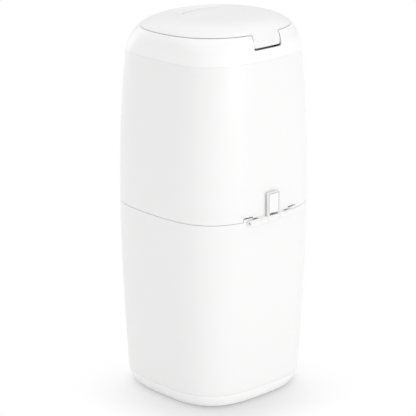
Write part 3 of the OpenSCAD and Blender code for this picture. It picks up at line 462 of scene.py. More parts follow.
def finish(obj, name, body, slot, replaced, angle=34):
    """Names a piece, gives it its material and body, and lets it stand for a CAD node."""
    obj.name = name
    obj.data.name = name
    obj.data.materials.clear()
    obj.data.materials.append(SLOTS[slot])
    smooth(obj.data, angle)
    mod = obj.modifiers.new("normals", "WEIGHTED_NORMAL")
    mod.keep_sharp = True
    mod.mode = "FACE_AREA"
    settle(obj)
    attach(obj, body)
    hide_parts(replaced)


def corners(place):
    """The four places at +-place in x and y."""
    return [(x * place, y * place) for x in (-1, 1) for y in (-1, 1)]


def both_sides(start, end):
    """The spans from start to end on either side of the middle."""
    return [(-end, -start), (start, end)]


# ---- materials ----


def material(name, colour, roughness, drift, grain, bump, rough_drift=0.02, metallic=0.0,
             stretch=(1, 1, 1), **sockets):
    """Principled surface with a slow drift of tone, a varying polish and a fine moulded grain.

    bump is the depth of the grain in millimetres; sockets sets any other input of the shader.
    """
    mat = bpy.data.materials.new(name)
    mat.use_nodes = True
    tree = mat.node_tree
    shader = tree.nodes["Principled BSDF"]
    shader.inputs["Metallic"].default_value = metallic
    for key, value in sockets.items():
        shader.inputs[key.replace("_", " ")].default_value = value
    coord = tree.nodes.new("ShaderNodeTexCoord")
    mapping = tree.nodes.new("ShaderNodeMapping")
    mapping.inputs["Scale"].default_value = stretch
    tree.links.new(coord.outputs["Object"], mapping.inputs["Vector"])

    def noise(scale, detail):
        n = tree.nodes.new("ShaderNodeTexNoise")
        n.inputs["Scale"].default_value = scale
        n.inputs["Detail"].default_value = detail
        tree.links.new(mapping.outputs["Vector"], n.inputs["Vector"])
        return n.outputs["Fac"]

    tone = tree.nodes.new("ShaderNodeMix")
    tone.data_type = "RGBA"
    tone.inputs["A"].default_value = [c * (1 - drift) for c in colour] + [1]
    tone.inputs["B"].default_value = [min(c * (1 + drift), 1) for c in colour] + [1]
    tree.links.new(noise(scale=9.0, detail=2.0), tone.inputs["Factor"])
    tree.links.new(tone.outputs["Result"], shader.inputs["Base Color"])
    polish = tree.nodes.new("ShaderNodeMapRange")
    polish.inputs["From Min"].default_value = 0.3
    polish.inputs["From Max"].default_value = 0.7
    polish.inputs["To Min"].default_value = roughness - rough_drift
    polish.inputs["To Max"].default_value = roughness + rough_drift
    tree.links.new(noise(scale=60.0, detail=3.0), polish.inputs["Value"])
    tree.links.new(polish.outputs["Result"], shader.inputs["Roughness"])
    relief = tree.nodes.new("ShaderNodeBump")
    relief.inputs["Strength"].default_value = 1.0
    relief.inputs["Distance"].default_value = bump * MM
    tree.links.new(noise(scale=grain, detail=3.0), relief.inputs["Height"])
    tree.links.new(relief.outputs["Normal"], shader.inputs["Normal"])
    return mat


# colour and roughness of each slot, and the rest of its look
LOOKS = {
    "shell_white": ((0.875, 0.875, 0.872), 0.34, dict(drift=0.006, grain=420, bump=0.012)),
    "cap_white": ((0.915, 0.915, 0.912), 0.33, dict(drift=0.005, grain=420, bump=0.01)),
    "inner_white": ((0.80, 0.81, 0.81), 0.46, dict(drift=0.01, grain=900, bump=0.03)),
    "trim_grey": ((0.52, 0.535, 0.55), 0.5, dict(drift=0.02, grain=1300, bump=0.05)),
    "rubber_grey": ((0.045, 0.047, 0.05), 0.78, dict(drift=0.08, grain=1500, bump=0.08)),
    "film_blue": ((0.42, 0.62, 0.76), 0.3, dict(
        drift=0.05, grain=160, bump=0.35, rough_drift=0.08, Transmission_Weight=0.25, IOR=1.4)),
    "steel": ((0.58, 0.58, 0.6), 0.3, dict(
        drift=0.05, grain=900, bump=0.02, rough_drift=0.08, metallic=1.0, stretch=(1, 9, 9))),
}
SLOTS = {
    name: material(name, colour, roughness, **more)
    for name, (colour, roughness, more) in LOOKS.items()
}

for part in frame["record"]["subparts"]:
    mesh = nodes[part["node"]].data
    mesh.materials.clear()
    mesh.materials.append(SLOTS[part["material_slot"]])


# ---- plinth and feet ----


def make_plinth():
    phi = columns()
    top, low, plate = 21.0, 1.5, 4.5
    foot_edge, top_edge = 1.4, 0.6
    rings = [plinth_ring(phi, low + h, i) for h, i in arc_in(foot_edge)]
    rings += [plinth_ring(phi, z) for z in np.linspace(low + foot_edge, top - top_edge, 16)[1:]]
    rings += [plinth_ring(phi, top - h, i) for h, i in reversed(arc_in(top_edge))]
    rings += [plinth_ring(phi, z, WALL) for z in np.linspace(top, plate, 8)]
    obj = loft(rings)
    boss, boss_top = 6.5, 10
    hole, head_pocket, pocket_top = 2.2, 4.2, 6.5
    for place in corners(BASE_SCREWS):
        join(obj, post(boss, plate - 0.1, boss_top, place, BOSS_EDGE))
        cut(obj, post(hole, BELOW, boss_top + 5, place))
        cut(obj, post(head_pocket, BELOW, pocket_top, place))
    foot_socket, socket_depth = 9.2, 1.2
    for place in corners(FEET):
        cut(obj, post(foot_socket, BELOW, low + socket_depth, place))
    finish(obj, "plinth_shell", "root", "cap_white", "plinth")


def make_feet():
    """Soft round feet with a rounded tread edge and a dished middle."""
    dish = [(0, 0.5), (3, 0.45), (4.4, 0.1), (5, 0)]
    tread = [(8.1, 0), (8.6, 0.12), (8.9, 0.4), (9, 0.8)]
    top = [(9, 2.5), (8.9, 2.65), (8.7, 2.7), (0, 2.7)]
    feet = [turned(dish + tread + top, (*place, 0), steps=72) for place in corners(FEET)]
    finish(join(*feet), "soft_feet", "root", "rubber_grey", "base_feet")


# ---- lower bucket ----


def make_bucket():
    knuckle, lug = BUCKET_KNUCKLE, (35.8, 50.7)
    phi = columns((knuckle[0], *lug))
    x = rear_x(phi)
    on_lug = ((x > lug[0] - 0.1) & (x < lug[1] + 0.1)).astype(float)
    edge = 0.3
    rows = [(PLINTH_TOP, 0.4), (21.3, 0.12), (21.6, 0.0)]
    rows += [(z, 0.0) for z in np.linspace(21.6, LOWER_RIM - edge, 44)[1:]]
    rows += [(LOWER_RIM - h, i) for h, i in reversed(arc_in(edge))][1:]
    rim = len(rows) - 1
    # the lugs run straight through the rim's rounded edge
    outer = [body_ring(phi, z, i * (1 - on_lug) if z > 200 else i) for z, i in rows]
    inner = [body_ring(phi, z, WALL) for z, _ in rows]
    for h, i in ((2.0, 0), (3.8, 0), (4.1, 0.12), (4.2, 0.4)):
        outer.append(body_ring(phi, SEAM + h, i))
        inner.append(body_ring(phi, SEAM + h, WALL))
    cells = (on_lug > 0) & (np.roll(on_lug, -1) > 0)
    keep = [[i < rim or c for c in cells] for i in range(len(outer) - 1)]
    obj = shell(np.array(outer), np.array(inner), keep)

    floor_z, fillet = 30, 5.8
    floor = [(PLINTH_TOP, 1.5), (floor_z, 1.5), (floor_z, WALL)]
    floor += [(floor_z - fillet * math.sin(a), WALL + fillet * (1 - math.cos(a)))
              for a in np.linspace(0.1, math.pi / 2, 8)]
    spigot_low = 12.2
    spigot_hw = plinth_hw(spigot_low) - WALL - 0.2
    spigot = [ring(phi, spigot_hw - i, spigot_hw * RATIO - i, POWER, z)
              for z, i in ((22, 2.4), (spigot_low, 2.4), (spigot_low, 0), (22, 0))]
    ridge = [(LOWER_RIM, 2.0), (LOWER_RIM, 3.4), (288.5, 3.4), (288.85, 3.55), (289, 3.9),
             (289, 5.1), (288.85, 5.45), (288.5, 5.6), (273, 5.6), (270.8, WALL), (270.8, 2.0)]
    locating_ridge = loft([body_ring(phi, z, i) for z, i in ridge], closed=True)
    gap_half = 54.7
    cut(locating_ridge, block((-gap_half, 0, LOWER_RIM), (gap_half, REAR - WALL, BEHIND)))
    strike_half, front = 16, -REAR + WALL
    strike = block((-strike_half, front - 1, 275), (strike_half, front + 8, 279), round_all=0.5)
    join(obj, loft([body_ring(phi, z, i) for z, i in floor]), loft(spigot, closed=True),
         locating_ridge, strike)

    for low, high in both_sides(*knuckle):
        web = block((low + SNUG, REAR - WALL + 0.2, HINGE_Z - BARREL + SNUG),
                    (high - SNUG, HINGE_Y, LOWER_RIM - SNUG), round_all=0.3)
        join(obj, hinge_rod(BARREL, low, high, KNUCKLE_EDGE), web)
    cut(obj, hinge_rod(BARREL + BARREL_GAP, -knuckle[0], knuckle[0]),
        hinge_rod(PIN_BORE, -PIN_REACH, PIN_REACH))
    boss, hole, hole_top = 5, 1.95, 19.8
    for place in corners(BASE_SCREWS):
        join(obj, post(boss, 10, 21.4, place, BOSS_EDGE))
        cut(obj, post(hole, 5, hole_top, place))
    finish(obj, "bucket_shell", "root", "shell_white", "lower_bucket")


# ---- upper housing ----


def make_housing():
    # openings in the lower edge: for the strap, the bucket's knuckles and its lugs
    strap_half, knuckle, lug = 8.0, (25.8, 34.2), (35.0, 51.5)
    knuckle_top, lug_top = 286.0, 289.1
    phi = columns((strap_half, *knuckle, *lug))
    x = rear_x(phi)
    rows = [(UPPER_RIM + h, i) for h, i in arc_in(0.3)]
    rows += [(knuckle_top, 0), (lug_top, 0)]
    rows += [(z, 0) for z in np.linspace(lug_top, 507.9, 40)[1:]]
    rows += [(508.2, 0.05), (508.3, 0.2)]
    outer = np.array([body_ring(phi, z, i) for z, i in rows])
    inner = np.array([body_ring(phi, z, WALL) for z, _ in rows])
    middle = 0.5 * (x + np.roll(x, -1))
    keep = []
    for (z0, _), (z1, _) in zip(rows, rows[1:]):
        z = 0.5 * (z0 + z1)
        at_lug = (middle > lug[0]) & (middle < lug[1])
        at_knuckle = (middle > knuckle[0]) & (middle < knuckle[1])
        opening = (z < lug_top) & ((middle < strap_half) | at_lug)
        opening |= (z < knuckle_top) & at_knuckle
        keep.append(list(~opening))
    obj = shell(outer, inner, keep)
    ledge = [(490.1, WALL), (494.1, WALL + 4), (LEDGE_Z, WALL + 4), (LEDGE_Z, 2.0), (490.1, 2.0)]
    join(obj, loft([body_ring(phi, z, i) for z, i in ledge], closed=True))
    for low, high in both_sides(*HOUSING_KNUCKLE):
        under = block((low + SNUG, REAR - WALL + 0.2, UPPER_RIM + SNUG),
                      (high - SNUG, HINGE_Y, HINGE_Z + BARREL - SNUG), round_all=0.3)
        behind = block((low + SNUG, REAR + 0.5, HINGE_Z),
                       (high - SNUG, HINGE_Y, HINGE_Z + BARREL - 0.4))
        join(obj, hinge_rod(BARREL, low, high, KNUCKLE_EDGE), under, behind)

    # bosses inside the wall for the film cutter and for the catch's bracket
    cutter_seat, cutter_z, boss = body_hw(353) - WALL - 3, 366, 4.5
    for y in (-20, 20):
        at = (0, y, cutter_z)
        join(obj, rod(boss, cutter_seat, cutter_seat + WALL + 1.6, at))
        cut(obj, rod(SCREW_BORE, cutter_seat - 1, cutter_seat + 3.5, at))
    catch_seat, boss = -body_hw(BUTTON_Z) * RATIO + WALL + 3, 4
    for x in (-29, 29):
        for z in (295, 319.5):
            join(obj, rod(boss, catch_seat - WALL - 1, catch_seat, (x, 0, z), "Y"))
            cut(obj, rod(SCREW_BORE, catch_seat - 3.6, catch_seat + 1, (x, 0, z), "Y"))

    inner_end, outer_end = HOUSING_KNUCKLE
    clear, clear_reach = BARREL + BARREL_GAP, 80
    hole_w, hole_h, hole_corner = 16.4, 8.4, 4.4
    cut(obj, hinge_rod(PIN_BORE, -PIN_REACH, PIN_REACH),
        hinge_rod(clear, -inner_end, inner_end),
        hinge_rod(clear, outer_end, clear_reach),
        hinge_rod(clear, -clear_reach, -outer_end),
        block((-hole_w, -150, BUTTON_Z - hole_h), (hole_w, -60, BUTTON_Z + hole_h),
              round_y=hole_corner),
        *[rod(CLEARANCE_BORE, 60, 180, (0, 0, z), "Y") for z in STRAP_SCREWS])
    finish(obj, "housing_shell", "upper", "shell_white", "upper_housing")


# ---- hinge strap ----


def make_strap():
    half, thick, window_half = 11, 4, 8
    face = HINGE_Y + BARREL - 1
    back, top = face - thick, SEAM + 36.4
    barrel_top = HINGE_Z + BARREL
    plate = block((-half, back, HINGE_Z), (half, face, top), round_y=1.2)
    cut(plate, block((-window_half, 90, barrel_top + 0.2),
                     (window_half, 150, barrel_top + 3.6), round_y=0.8))
    soften_object(plate, 0.5)
    border, width, depth = 0.7, 1.3, 2.0
    edge, crown = half - border, top - border
    groove = block((-edge, face - depth, barrel_top), (edge, face + 1, crown), round_y=0.6)
    inside = edge - width
    cut(groove, block((-inside, 0, barrel_top - 1), (inside, BEHIND, crown - width), round_y=0.4))
    cut(plate, groove)
    barrel_half, boss = 11.8, 3.4
    join(plate, hinge_rod(BARREL, -barrel_half, barrel_half, KNUCKLE_EDGE))
    for z in STRAP_SCREWS:
        wall = body_hw(z) * RATIO + 0.2
        join(plate, rod(boss, wall, back + 0.4, (0, 0, z), "Y", edge=0.2))
        cut(plate, rod(SCREW_BORE, 90, face - 1.2, (0, 0, z), "Y"))
    cut(plate, hinge_rod(PIN_BORE, -PIN_REACH, PIN_REACH))
    finish(plate, "strap_plate", "upper", "shell_white", "hinge_strap")


# ---- top collar ----


def make_collar():
    top = PARTING - LID_GAP / 2
    phi, x, hold = dome_columns(tab_keys(POCKET_HALF), top)
    held = np.where(np.abs(x) < FAR / 2, x, 0.0)
    edge, sill_row = 0.35, 11

    def grid(inset):
        """Rows up to the sill of the tab's pocket, up to the rim, and round the rim's edge."""
        low = share_at(phi, POCKET_Z + corner_rise(x, POCKET_HALF), 0.0, inset, held, hold)
        high = share_at(phi, top - edge, SLOPE, inset, held, hold)
        shares = np.linspace(0, 1, sill_row + 1)
        rows = [dome(phi, low * k, inset, held, hold) for k in shares]
        rows += [dome(phi, lerp(low, high, k), inset, held, hold) for k in shares[1:]]
        for h, i in list(reversed(arc_in(edge)))[1:]:
            extra = i if inset == 0 else 0
            t = share_at(phi, top - h, SLOPE, inset + extra, held, hold)
            rows.append(dome(phi, t, inset + extra, held, hold))
        return np.array(rows)

    outer, inner = grid(0.0), grid(WALL)
    inside = np.abs(x) < POCKET_HALF + 0.01
    pocket = inside & np.roll(inside, -1)
    keep = [[i < sill_row or not c for c in pocket] for i in range(len(outer) - 1)]
    obj = shell(outer, inner, keep)

    def level(inset, z, slope=SLOPE):
        return dome(phi, share_at(phi, z, slope, inset), inset)

    def mouth(grow, z):
        return ring(phi, MOUTH_HW + grow, MOUTH_HD + grow, MOUTH_POWER, z)

    def seal_seat(grow, z):
        return ring(phi, DOME_HW - 12.5 + grow, DOME_HD - 12.5 + grow, POWER - 1.05 * 0.7, z)

    # funnel: from the rim over the seal's seat, down the mouth to the round throat and back
    seat_z, under_z, throat_z, throat_r = 538, 535.2, 512, 84
    rise = [level(2.2, top - 1.0), seal_seat(0.6, seat_z + 0.25), seal_seat(-0.6, seat_z)]
    rise += [mouth(r, seat_z - h) for h, r in ((0, 1.6), (0.15, 0.9), (0.5, 0.35), (1.1, 0))]
    for k in np.linspace(0, 1, 9)[1:]:
        rise.append(ring(phi, lerp(MOUTH_HW, throat_r, k), lerp(MOUTH_HD, throat_r, k),
                         lerp(MOUTH_POWER, 2.0, k), lerp(536.9, throat_z, k)))
    rise += [ring(phi, throat_r + 2.4, throat_r + 2.4, 2.0, throat_z), mouth(WALL, under_z),
             seal_seat(-2, under_z), level(2.2, under_z, 0.0)]
    funnel = loft(rise, closed=True)
    cut(funnel, block((-POCKET_HALF, POCKET_Y, POCKET_Z), (POCKET_HALF, BEHIND, ABOVE)))
    spigot = [(SHOULDER, 5.4), (500.1, 5.4), (499.7, 5.0), (499.7, 3.4), (500.1, 3.0),
              (SHOULDER, 3.0), (SHOULDER, 2.2)]
    rings = [level(2.2, 515.0, 0.0)] + [body_ring(phi, z, i) for z, i in spigot]
    join(obj, funnel, loft(rings, closed=True))

    for low, high in both_sides(POCKET_HALF, POCKET_HALF + EAR_T):
        web = block((low + SNUG, LID_Y, LID_Z - LID_BARREL + SNUG),
                    (high - SNUG, DOME_HD - WALL, LID_Z + LID_BARREL - SNUG))
        join(obj, lid_hinge_rod(LID_BARREL, low, high, 0.3), web)
    boss, boss_low, bore_top = 5, 499.7, 513.7
    for place in corners(COLLAR_SCREWS):
        join(obj, post(boss, boss_low, 536.6, place, BOSS_EDGE))
        cut(obj, post(SCREW_BORE, boss_low - 1.7, bore_top, place))
    pin_end = POCKET_HALF + EAR_T + 1
    cut(obj, lid_hinge_rod(PIN_BORE, -pin_end, pin_end), finger_recess())
    finish(obj, "collar_shell", "upper", "cap_white", "top_collar")


def finger_recess():
    """A round bar that cuts a shallow hollow under the front edge of the lid."""
    front = np.array([1.5 * math.pi])
    share = share_at(front, PARTING, SLOPE)
    high = dome(front, share)[0]
    low = dome(front, share * 0.8)[0]
    along = (high - low) / np.linalg.norm(high - low)
    radius, depth, half = 8, 1.6, 36
    out = radius - depth
    y = (high[1] + low[1]) / 2 - out * along[2]
    z = (high[2] + low[2]) / 2 + out * along[1]
    return rod(radius, -half, half, (0, y, z), steps=128)


# ---- lid ----


def scoop_cutter(grow):
    """Shallow bowl in front of its bowed crest; grow makes it deeper and wider."""
    depth = 4.0
    r = (SCOOP_HALF**2 + depth**2) / (2 * depth)
    z0 = crown_height(-SCOOP_TIP)
    tilt = math.atan((z0 - crown_height(-SCOOP_TIP - SCOOP_HALF)) / SCOOP_HALF)
    wide = 0.30
    profile = [(0, -r - grow)]
    profile += [((r + grow) * math.sin(a), -(r + grow) * math.cos(a))
                for a in np.linspace(0.004, wide, 60)]
    profile += [((r + grow) * math.sin(wide), -r + 60), (0, -r + 60)]
    bowl = turned(profile, (0, 0, 0), steps=256)
    centre = Matrix.Translation(Vector((0, -SCOOP_TIP, z0)) * MM)
    lift = Matrix.Translation(Vector((0, 0, r - depth)) * MM)
    bowl.data.transform(centre @ Matrix.Rotation(tilt, 4, "X") @ lift)

    # what lies behind the crest is taken off again, over a rounded brow in the lid's skin
    soft = 1.6 if grow == 0 else 0.0
    brow = crown_height(CREST_Y) + 0.15
    profile = [(0, 480), (CREST_R - grow + 0.25 * soft, 480)]
    if soft:
        inner = CREST_R - soft
        profile += [(inner + 1.25 * soft * math.cos(a), brow - soft + soft * math.sin(a))
                    for a in np.linspace(0, math.pi / 2, 9)][:-1]
        profile += [(inner, brow), (inner, 640), (0, 640)]
    else:
        profile += [(CREST_R - grow, 640), (0, 640)]
    return cut(bowl, turned(profile, (0, CREST_Y + CREST_R, 0), steps=384))


def crest_groove():
    """The fine crescent behind the crest."""
    half, lip, width, depth = 36.0, 1.2, 3.0, 1.8
    outer, inner = CREST_R - lip, CREST_R - lip - width
    bottom = crown_height(CREST_Y) - depth
    centre = (0, CREST_Y + CREST_R, 0)
    foot = [(0, bottom), (outer - 0.5, bottom), (outer - 0.15, bottom + 0.15)]
    top = 600
    obj = turned([*foot, (outer, bottom + 0.5), (outer, top), (0, top)], centre, steps=512)
    core = [(0, bottom - 1), (inner, bottom - 1), (inner, top + 1), (0, top + 1)]
    cut(obj, turned(core, centre, steps=512))
    return overlap(obj, block((-half, -BEHIND, 400), (half, 0, ABOVE)))


def make_lid():
    rim = PARTING + LID_GAP / 2
    phi, x, hold = dome_columns(tab_keys(TAB_HALF), rim)
    held = np.where(np.abs(x) < FAR / 2, x, 0.0)
    tab = (np.abs(x) < TAB_HALF + 0.01).astype(float)
    edge, tab_rows = 0.35, 10
    widths = np.concatenate([np.linspace(1, 0.9, 18), np.linspace(0.9, 0.72, 16)[1:],
                             np.linspace(0.72, 0.02, 26)[1:]])

    def crown(inset, lift):
        """Rows from the rim to the top; the tab's columns let go of their x on the way."""
        s0 = width_at(share_at(phi, rim + lift, SLOPE, inset, held, hold))
        fades = np.clip((widths - 0.55) / 0.45, 0, 1) ** 2
        return [dome(phi, height_at(s * s0), inset, held, hold * fade)
                for s, fade in zip(widths, fades)]

    def grid(inset):
        low = share_at(phi, TAB_Z + corner_rise(x, TAB_HALF), 0.0, inset, held, hold)
        start = share_at(phi, rim, SLOPE, inset, held, hold)
        rows = [dome(phi, lerp(low, start, k), inset + TAB_IN * (1 - k), held, hold)
                for k in np.linspace(0, 1, tab_rows + 1)[:-1]]
        for h, i in arc_in(edge)[:-1]:
            extra = i * (1 - tab) if inset == 0 else 0.0
            t = share_at(phi, rim + h, SLOPE, inset + extra, held, hold)
            rows.append(dome(phi, t, inset + extra, held, hold))
        return np.array(rows + crown(inset, edge))

    outer, inner = grid(0.0), grid(LID_WALL)
    cells = (tab > 0) & (np.roll(tab, -1) > 0)
    keep = [[i >= tab_rows or c for c in cells] for i in range(len(outer) - 1)]
    obj = shell(outer, inner, keep, pole=True)
    end = TAB_HALF - 0.4
    web = block((-end + SNUG, LID_Y, LID_Z - LID_BARREL + SNUG),
                (end - SNUG, DOME_HD - LID_WALL + 0.5, LID_Z + LID_BARREL - SNUG), round_all=0.3)
    join(obj, lid_hinge_rod(LID_BARREL, -end, end, 0.4), web)
    boss, boss_low, bore_top = 4, 543.4, 549.7
    for place in corners(LINER_SCREWS):
        boss_top = 553.4 if place[1] < 0 else 556.4
        join(obj, post(boss, boss_low, boss_top, place, BOSS_EDGE))
        cut(obj, post(SCREW_BORE, boss_low - 3.4, bore_top, place))

    # the skin is thickened from within where the scoop sinks into it
    mid = LID_WALL / 2
    s0 = width_at(share_at(phi, rim + 0.3, SLOPE, mid))
    pad = loft([dome(phi, height_at(s * s0), mid) for s in widths])
    overlap(pad, scoop_cutter(LID_WALL))
    join(obj, pad)
    cut(obj, scoop_cutter(0.0), crest_groove(), lid_hinge_rod(PIN_BORE, -PIN_REACH, PIN_REACH))
    finish(obj, "lid_shell", "lid", "shell_white", "lid")


# ---- release button ----


def make_button():
    half_w, half_h, flange = 16, 8, 2.5
    wall = -body_hw(BUTTON_Z) * RATIO
    face, stop = wall - 1.2, wall + WALL + 0.4
    rib, rib_half, rib_r = stop + 4 + 7 - 1.4, 7, 1
    z = BUTTON_Z
    corner, flange_t = 4, 1.6
    obj = block((-half_w, face, z - half_h), (half_w, stop + 0.4, z + half_h), round_y=corner)
    soften_object(obj, 0.7, segments=4, in_front_of=face + 0.1)
    wide, tall = half_w + flange, half_h + flange
    join(obj, block((-wide, stop, z - tall), (wide, stop + flange_t, z + tall), round_y=corner),
         block((-rib_half, stop + 1.5, z - rib_r), (rib_half, rib, z + rib_r)),
         rod(rib_r, -rib_half, rib_half, (0, rib, z), edge=0.2, steps=32))
    dish_r, dish_half, dish_depth = 60, 14, 0.35
    cut(obj, rod(dish_r, -dish_half, dish_half, (0, face - dish_r + dish_depth, z), steps=512))
    finish(obj, "button_cap", "button", "shell_white", "release_button")


# ---- film ----


def make_sleeve():
    """Thin film drawn from the cassette's slot over its bore and down the throat, in folds."""
    steps, rng = 360, np.random.default_rng(7)
    phi = np.linspace(0, 2 * math.pi, steps, endpoint=False)
    fold = sum(rng.uniform(0.5, 1) * np.sin(k * phi + rng.uniform(0, 6.28))
               for k in (17, 23, 31, 42))
    fold /= np.abs(fold).max()
    # (radius, height, depth of the folds) down the film
    path = [
        (64.4, 514.6, 0.05), (60.6, 514.7, 0.05), (59.35, 514.2, 0.15), (59.2, 510, 0.4),
        (59.1, 500, 0.6), (58.9, 490, 0.9), (57.2, 484, 1.0), (55.3, 479, 0.8),
        (55.1, 474, 0.9), (55.1, 468, 1.2), (55.1, 466.4, 1.4),
    ]
    outer = []
    for r, z, depth in path:
        folded = r - depth * (0.5 - 0.5 * fold)
        outer.append(np.stack([folded * np.cos(phi), folded * np.sin(phi), np.full(steps, z)], -1))
    thinner = 1 - 0.25 / 58
    inner = [o * np.array([thinner, thinner, 1]) for o in outer]
    obj = loft(outer + inner[::-1], closed=True)
    finish(obj, "film_tube", "upper", "film_blue", "film_sleeve", 60)


def make_pack():
    """Film folded into a ring of close pleats."""
    pleats, rng = 150, np.random.default_rng(3)
    phi = np.linspace(0, 2 * math.pi, pleats * 4, endpoint=False)
    wave = np.tile([0.0, 0.7, 1.0, 0.7], pleats)
    jog = np.repeat(rng.uniform(0, 0.5, pleats), 4)
    up = np.linspace(480.2, 510.9, 9)
    down = np.linspace(510.9, 480.2, 9)
    rows = []
    for r0, sign, heights in ((77.3, -1, up), (61.7, 1, down)):
        for z in heights:
            r = r0 + sign * (1.5 * wave + jog + 0.12 * np.sin(z + 40 * phi))
            rows.append(np.stack([r * np.cos(phi), r * np.sin(phi), np.full_like(phi, z)], -1))
    finish(loft(rows, closed=True), "film_pleats", "upper", "film_blue", "film_pack", 50)


make_plinth()
make_feet()
make_bucket()
make_housing()
make_strap()
make_collar()
make_lid()
make_button()
make_sleeve()
make_pack()

for part in frame["record"]["subparts"]:
    node = nodes[part["node"]]
    if not node.hide_render:
        smooth(node.data)


# ---- floor, light and camera ----

VIEW_LINE = Vector((-0.649737, -0.697264, -0.302764))


def maths(tree, operation, *values):
    """A maths node; each value is a number or the socket that feeds it."""
    node = tree.nodes.new("ShaderNodeMath")
    node.operation = operation
    for socket, value in zip(node.inputs, values):
        if isinstance(value, float):
            socket.default_value = value
        else:
            tree.links.new(value, socket)
    return node.outputs["Value"]


def seen_as(tree, out, lit, seen):
    """Feeds out with one shader, and with another where the camera looks straight at it."""
    path = tree.nodes.new("ShaderNodeLightPath")
    pick = tree.nodes.new("ShaderNodeMixShader")
    tree.links.new(path.outputs["Is Camera Ray"], pick.inputs[0])
    tree.links.new(lit.outputs[0], pick.inputs[1])
    tree.links.new(seen.outputs[0], pick.inputs[2])
    tree.links.new(pick.outputs[0], out.inputs["Surface"])


def floor_material():
    """White matt floor; seen directly it glows plain white, with a painted soft shadow close to
    the object.
    """
    mat = bpy.data.materials.new("studio_floor")
    mat.use_nodes = True
    tree = mat.node_tree
    tree.nodes.clear()
    out = tree.nodes.new("ShaderNodeOutputMaterial")
    matt = tree.nodes.new("ShaderNodeBsdfDiffuse")
    matt.inputs["Color"].default_value = (0.97, 0.97, 0.97, 1)

    def shadow(distance, lean, power, strength):
        """Painted shadow within a distance of the object, read from the occlusion there; lean tips
        its upright away from the camera.
        """
        tilt = tree.nodes.new("ShaderNodeCombineXYZ")
        upright = Vector((-0.68 * lean, -0.73 * lean, 1)).normalized()
        for socket, value in zip(tilt.inputs, upright):
            socket.default_value = value
        near = tree.nodes.new("ShaderNodeAmbientOcclusion")
        near.samples = 16
        near.inputs["Distance"].default_value = distance
        tree.links.new(tilt.outputs["Vector"], near.inputs["Normal"])
        dark = maths(tree, "SUBTRACT", 1.0, near.outputs["AO"])
        return maths(tree, "MULTIPLY", maths(tree, "POWER", dark, power), strength)

    # painted shadow: the camera sees the floor's glow darkened by a tight contact line and a wider
    # soft spread
    contact = shadow(distance=0.02, lean=0.0, power=3.0, strength=0.3)
    spread = shadow(distance=0.1, lean=2.0, power=1.5, strength=0.52)
    shade = maths(tree, "SUBTRACT", maths(tree, "SUBTRACT", 1.0, contact), spread)
    seen = tree.nodes.new("ShaderNodeEmission")
    tree.links.new(shade, seen.inputs["Strength"])
    seen_as(tree, out, matt, seen)
    return mat


bm = bmesh.new()
bmesh.ops.create_circle(bm, cap_ends=True, segments=96, radius=14)
floor = new_object("floor", bm)
floor.data.materials.append(floor_material())

# (place, brightness) stops of the sky: by the sine of elevation, brightest from 50 degrees up,
# and across the camera's view, where darker flags set the white edges off the background
SKY = [(0.0, 0.61), (0.25, 0.68), (0.52, 0.87), (0.74, 1.13), (0.92, 1.21), (1.0, 1.21)]
FLAGS = [(-1.0, 0.85), (-0.6, 1.0), (0.6, 1.0), (1.0, 0.55)]
ACROSS = (-0.73, 0.68, 0.0)


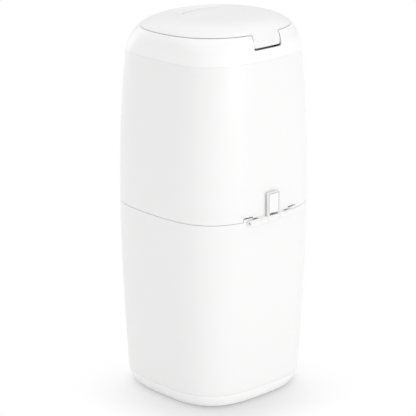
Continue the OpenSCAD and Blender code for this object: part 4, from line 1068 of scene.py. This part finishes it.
def studio_world():
    """A soft studio sky; seen directly it is plain white."""
    world = bpy.data.worlds.new("studio")
    world.use_nodes = True
    bpy.context.scene.world = world
    tree = world.node_tree
    tree.nodes.clear()
    out = tree.nodes.new("ShaderNodeOutputWorld")
    coord = tree.nodes.new("ShaderNodeTexCoord")
    split = tree.nodes.new("ShaderNodeSeparateXYZ")
    sideways = tree.nodes.new("ShaderNodeVectorMath")
    sideways.operation = "DOT_PRODUCT"
    sideways.inputs[1].default_value = ACROSS
    tree.links.new(coord.outputs["Generated"], split.inputs[0])
    tree.links.new(coord.outputs["Generated"], sideways.inputs[0])

    def background():
        node = tree.nodes.new("ShaderNodeBackground")
        node.inputs["Color"].default_value = (1, 1, 1, 1)
        node.inputs["Strength"].default_value = 1.0
        return node

    def brightness(socket, stops):
        """Reads brightness off a row of stops at the place that the socket gives."""
        low, high = stops[0][0], stops[-1][0]
        top = max(level for _, level in stops)
        ramp = tree.nodes.new("ShaderNodeValToRGB")
        while len(ramp.color_ramp.elements) < len(stops):
            ramp.color_ramp.elements.new(0.5)
        for stop, (place, level) in zip(ramp.color_ramp.elements, stops):
            stop.position = (place - low) / (high - low)
            stop.color = [level / top] * 3 + [1]
        place_in = tree.nodes.new("ShaderNodeMapRange")
        place_in.inputs["From Min"].default_value = low
        place_in.inputs["From Max"].default_value = high
        tree.links.new(socket, place_in.inputs["Value"])
        tree.links.new(place_in.outputs["Result"], ramp.inputs["Fac"])
        return maths(tree, "MULTIPLY", ramp.outputs["Color"], top)

    light = background()
    level = maths(tree, "MULTIPLY", brightness(split.outputs["Z"], SKY),
                  brightness(sideways.outputs["Value"], FLAGS))
    tree.links.new(level, light.inputs["Strength"])
    seen_as(tree, out, light, background())


def soft_box(name, azimuth, elevation, power, size=1.6, distance=3.5):
    """A square light that faces the object's middle; azimuth is counted from +X towards +Y."""
    a, e = math.radians(azimuth), math.radians(elevation)
    away = Vector((math.cos(a) * math.cos(e), math.sin(a) * math.cos(e), math.sin(e)))
    data = bpy.data.lights.new(name, "AREA")
    data.shape = "SQUARE"
    data.size = size
    data.energy = power
    lamp = bpy.data.objects.new(name, data)
    lamp.location = Vector((0, 0, 0.3)) + away * distance
    lamp.rotation_mode = "QUATERNION"
    lamp.rotation_quaternion = away.to_track_quat("Z", "Y")
    bpy.context.scene.collection.objects.link(lamp)


studio_world()
soft_box("rear_box", azimuth=100, elevation=8, power=25)
soft_box("front_box", azimuth=270, elevation=10, power=9)
soft_box("side_box", azimuth=0, elevation=45, power=3)

camera_data = bpy.data.cameras.new("camera")
camera_data.sensor_width = 36
camera_data.lens = 180.706
camera_data.clip_end = 60
camera = bpy.data.objects.new("camera", camera_data)
camera.location = (1.99312, 2.12741, 1.19262)
camera.rotation_mode = "QUATERNION"
camera.rotation_quaternion = VIEW_LINE.to_track_quat("-Z", "Y")
bpy.context.scene.collection.objects.link(camera)
bpy.context.scene.camera = camera

bpy.context.scene.view_settings.view_transform = "Standard"
